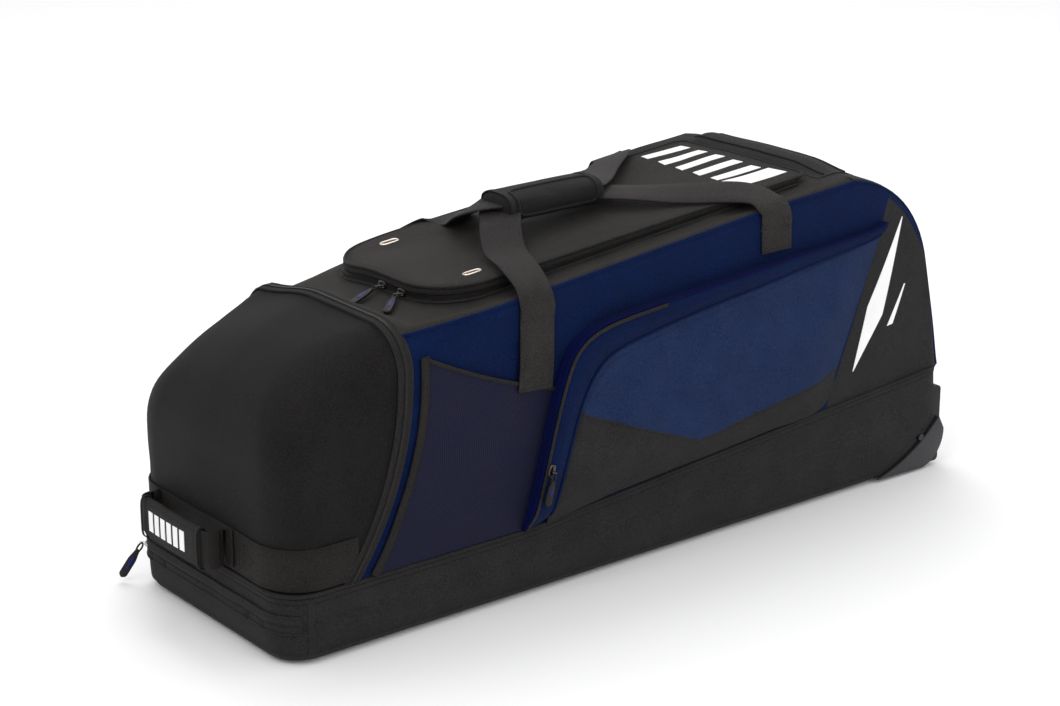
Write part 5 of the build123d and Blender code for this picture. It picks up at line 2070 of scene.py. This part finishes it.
def axes_of(node):
    """Middle, long, wide and thin directions and half sizes of a small CAD node."""
    spots = np.array([v.co for v in nodes[node].data.vertices], float) / MM
    spots = np.unique(spots.round(4), axis=0)
    middle = spots.mean(0)
    _, ways = np.linalg.eigh(np.cov((spots - middle).T))
    frame_ways = [Vector(ways[:, k]) for k in (2, 1, 0)]
    halves, centre = [], Vector((0, 0, 0))
    for way in frame_ways:
        reach = spots @ np.array(way)
        halves.append((reach.max() - reach.min()) / 2)
        centre += way * (reach.max() + reach.min()) / 2
    order = sorted(range(3), key=lambda k: -halves[k])
    return centre, [frame_ways[k] for k in order], [halves[k] for k in order]


def build_slider(node, metal, body, slot):
    """Zip slider: a nosed body and an arched bridge over it."""
    centre, ways, halves = axes_of(node)
    ahead, across, out = ways
    if out.dot(centre - Vector(bag_middle)) < 0:
        out = -out
    across = out.cross(ahead).normalized()
    length, width, thick = halves
    shape = [(-1, 0.62), (-0.7, 0.95), (0.0, 1.0), (0.55, 0.92), (1.0, 0.5)]
    outline = shape + [(a, -w) for a, w in reversed(shape)]
    rings = [
        [
            centre + ahead * a * length * scale + across * w * width * scale + out * level * thick
            for a, w in outline
        ]
        for level, scale in ((-1, 0.8), (-0.75, 1.0), (-0.15, 1.0), (0.1, 0.8))
    ]
    bridge = [
        centre + ahead * length * 0.75 * cos(t) + out * (thick * 0.05 + thick * 0.9 * sin(t))
        for t in steps(0, pi, 12)
    ]
    parts = [
        stacked("slider_shell", rings, metal),
        strip(bridge, across, flat_profile(1.2, width * 0.7, -width * 0.35), metal),
    ]
    piece = joined(f"{node}_metal", parts)
    soft = piece.modifiers.new("soft_edges", "BEVEL")
    soft.width = 0.35 * MM
    soft.segments = 2
    settle(piece)
    box_coords(piece)
    place(piece, body, slot, node)


def build_pull(node, slider, body, link_metal):
    """Pull: a looped cord from the slider and a flat moulded grip with a coloured inset."""
    centre, ways, halves = axes_of(node)
    anchor, _, _ = axes_of(slider)
    ahead, across, out = ways
    if ahead.dot(centre - anchor) < 0:
        ahead = -ahead
    if out.dot(centre - Vector(bag_middle)) < 0:
        out = -out
    across = out.cross(ahead).normalized()
    length, width, thick = halves
    start = centre - ahead * length
    turns = steps(-pi, pi, 20)[:-1]
    loop = [start + ahead * (6 - 6 * cos(t)) + across * 2.2 * sin(t) for t in turns]
    reach = start - anchor
    half = reach.length / 2 + 1.5
    link = [
        mix(anchor, start, 0.55) + reach.normalized() * half * cos(t) + across * 3.0 * sin(t)
        for t in turns
    ]
    parts = [
        strip(loop, out, round_profile(1.0), thread_black, loop=True),
        strip(link, out, round_profile(0.8), link_metal, loop=True),
    ]
    grip_start, grip_end = 9.0, 2 * length
    outline = []
    for share in steps(0, 1, 18):
        tip = sqrt(max(1 - max(0, share - 0.86) ** 2 / 0.0205, 0.02))
        side = width * mix(0.55, 1.0, smooth(share * 2.4)) * tip
        outline.append((mix(grip_start, grip_end, share), side))
    outline += [(x, -side) for x, side in reversed(outline)]
    middle = (grip_start + grip_end) / 2
    rings = [
        [
            start + ahead * mix(middle, x, mix(1, scale, 0.3)) + across * side * scale + out * level * thick
            for x, side in outline
        ]
        for level, scale in ((-1, 0.86), (-0.55, 1.0), (0.55, 1.0), (1, 0.86))
    ]
    parts.append(stacked("pull_grip", rings, pull_rubber))
    for side in (-1, 1):
        face = start + out * side * thick * 0.98
        path = [face + ahead * x for x in steps(grip_start + 9, grip_end - 12, 8)]
        parts.append(strip(path, out * side, flat_profile(width * 0.6, 0.6, -0.2), pull_blue))
    piece = joined(f"{node}_grip", parts)
    box_coords(piece)
    place(piece, body, "pull_rubber", node)


def build_zip_hardware():
    """Every slider and pull."""
    for letter in "ab":
        build_slider(f"lid_slider_{letter}", gunmetal, f"lid_slider_{letter}", "gunmetal")
        build_pull(f"lid_pull_{letter}", f"lid_slider_{letter}", f"lid_pull_{letter}", gunmetal)
    build_slider("tray_slider", silver, "tray_slider", "silver")
    build_pull("tray_pull", "tray_slider", "tray_pull", silver)
    build_slider("rear_slider", gunmetal, "rear_slider", "gunmetal")
    build_pull("rear_pull", "rear_slider", "rear_pull", gunmetal)
    for name, _ in SIDES:
        build_slider(f"pocket_slider_{name}", gunmetal, f"pocket_slider_{name}", "gunmetal")
        build_pull(f"pocket_pull_{name}", f"pocket_slider_{name}", f"pocket_pull_{name}", gunmetal)


# ---------------------------------------------------------------- sag

def slump(p):
    """Sag of the unstuffed bag at its far front shoulder."""
    side = smooth(p.y / 105) * smooth((p.z - 190) / 130)
    ahead = 0.2 + 0.8 * (1 - smooth((p.x + 330) / 200))
    droop = smooth((p.y - 95) / 50) * smooth((p.z - 210) / 90) * (1 - smooth((p.x - 20) / 240))
    return Vector((p.x, p.y, p.z - 16 * side * ahead - 20 * droop))


def let_sag():
    """Let every finished cloth piece sag together."""
    for piece in bpy.data.objects:
        if piece.type == "MESH" and piece.name not in nodes and piece.name != "studio_ground":
            for vertex in piece.data.vertices:
                if vertex.co.y > 0 and vertex.co.z > 190 * MM:
                    vertex.co = slump(vertex.co / MM) * MM


# ---------------------------------------------------------------- studio

def build_studio():
    """Pale floor, soft light and the camera."""
    floor, tree, shader = new_finish("studio_floor")
    shader.inputs["Base Color"].default_value = (0.94, 0.94, 0.94, 1)
    shader.inputs["Roughness"].default_value = 0.9
    reach = 9000
    ground = make_mesh(
        "studio_ground", [(-reach, -reach, 0), (reach, -reach, 0), (reach, reach, 0), (-reach, reach, 0)],
        [(0, 1, 2, 3)],
    )
    ground.data.materials.append(floor)
    world = bpy.data.worlds.new("studio")
    world.use_nodes = True
    world.node_tree.nodes["Background"].inputs["Color"].default_value = (1, 1, 1, 1)
    world.node_tree.nodes["Background"].inputs["Strength"].default_value = 0.92
    bpy.context.scene.world = world
    for name, spot, aim, size, power in (
        ("key_light", (-1.9, -0.6, 2.3), (-0.1, 0, 0.2), 1.6, 13),
        ("top_light", (0.6, 1.2, 2.6), (0.1, 0, 0.3), 1.8, 26),
        ("front_light", (0.3, -2.6, 1.2), (0.1, 0, 0.2), 1.6, 12),
    ):
        lamp = bpy.data.lights.new(name, "AREA")
        lamp.size = size
        lamp.energy = power
        light = bpy.data.objects.new(name, lamp)
        light.location = spot
        light.rotation_euler = (Vector(aim) - Vector(spot)).to_track_quat("-Z", "Y").to_euler()
        bpy.context.scene.collection.objects.link(light)
    camera = bpy.data.cameras.new("camera")
    camera.sensor_width = 36
    camera.lens = 88.3
    camera.clip_end = 50
    view = bpy.data.objects.new("camera", camera)
    view.location = (-1.6957, -2.1243, 1.1359)
    turn, tilt = radians(-38.07), radians(18.99)
    view.rotation_euler = (pi / 2 - tilt, 0, turn)
    bpy.context.scene.collection.objects.link(view)
    bpy.context.scene.camera = view
    bpy.context.scene.view_settings.view_transform = "Standard"


build_studio()
build_base()
build_base_trim()
build_sides()
build_top()
build_piping()
dome_tree = build_dome()
build_band(dome_tree)
build_grab_handle()
build_arch_zip()
lid_tree = build_lid()
build_eyelets(lid_tree)
build_pockets()
build_mesh_pockets()
build_marks(lid_tree)
build_straps()
build_ridge()
build_rear_zip()
build_wheels()
build_zip_hardware()
finish_nodes()
let_sag()
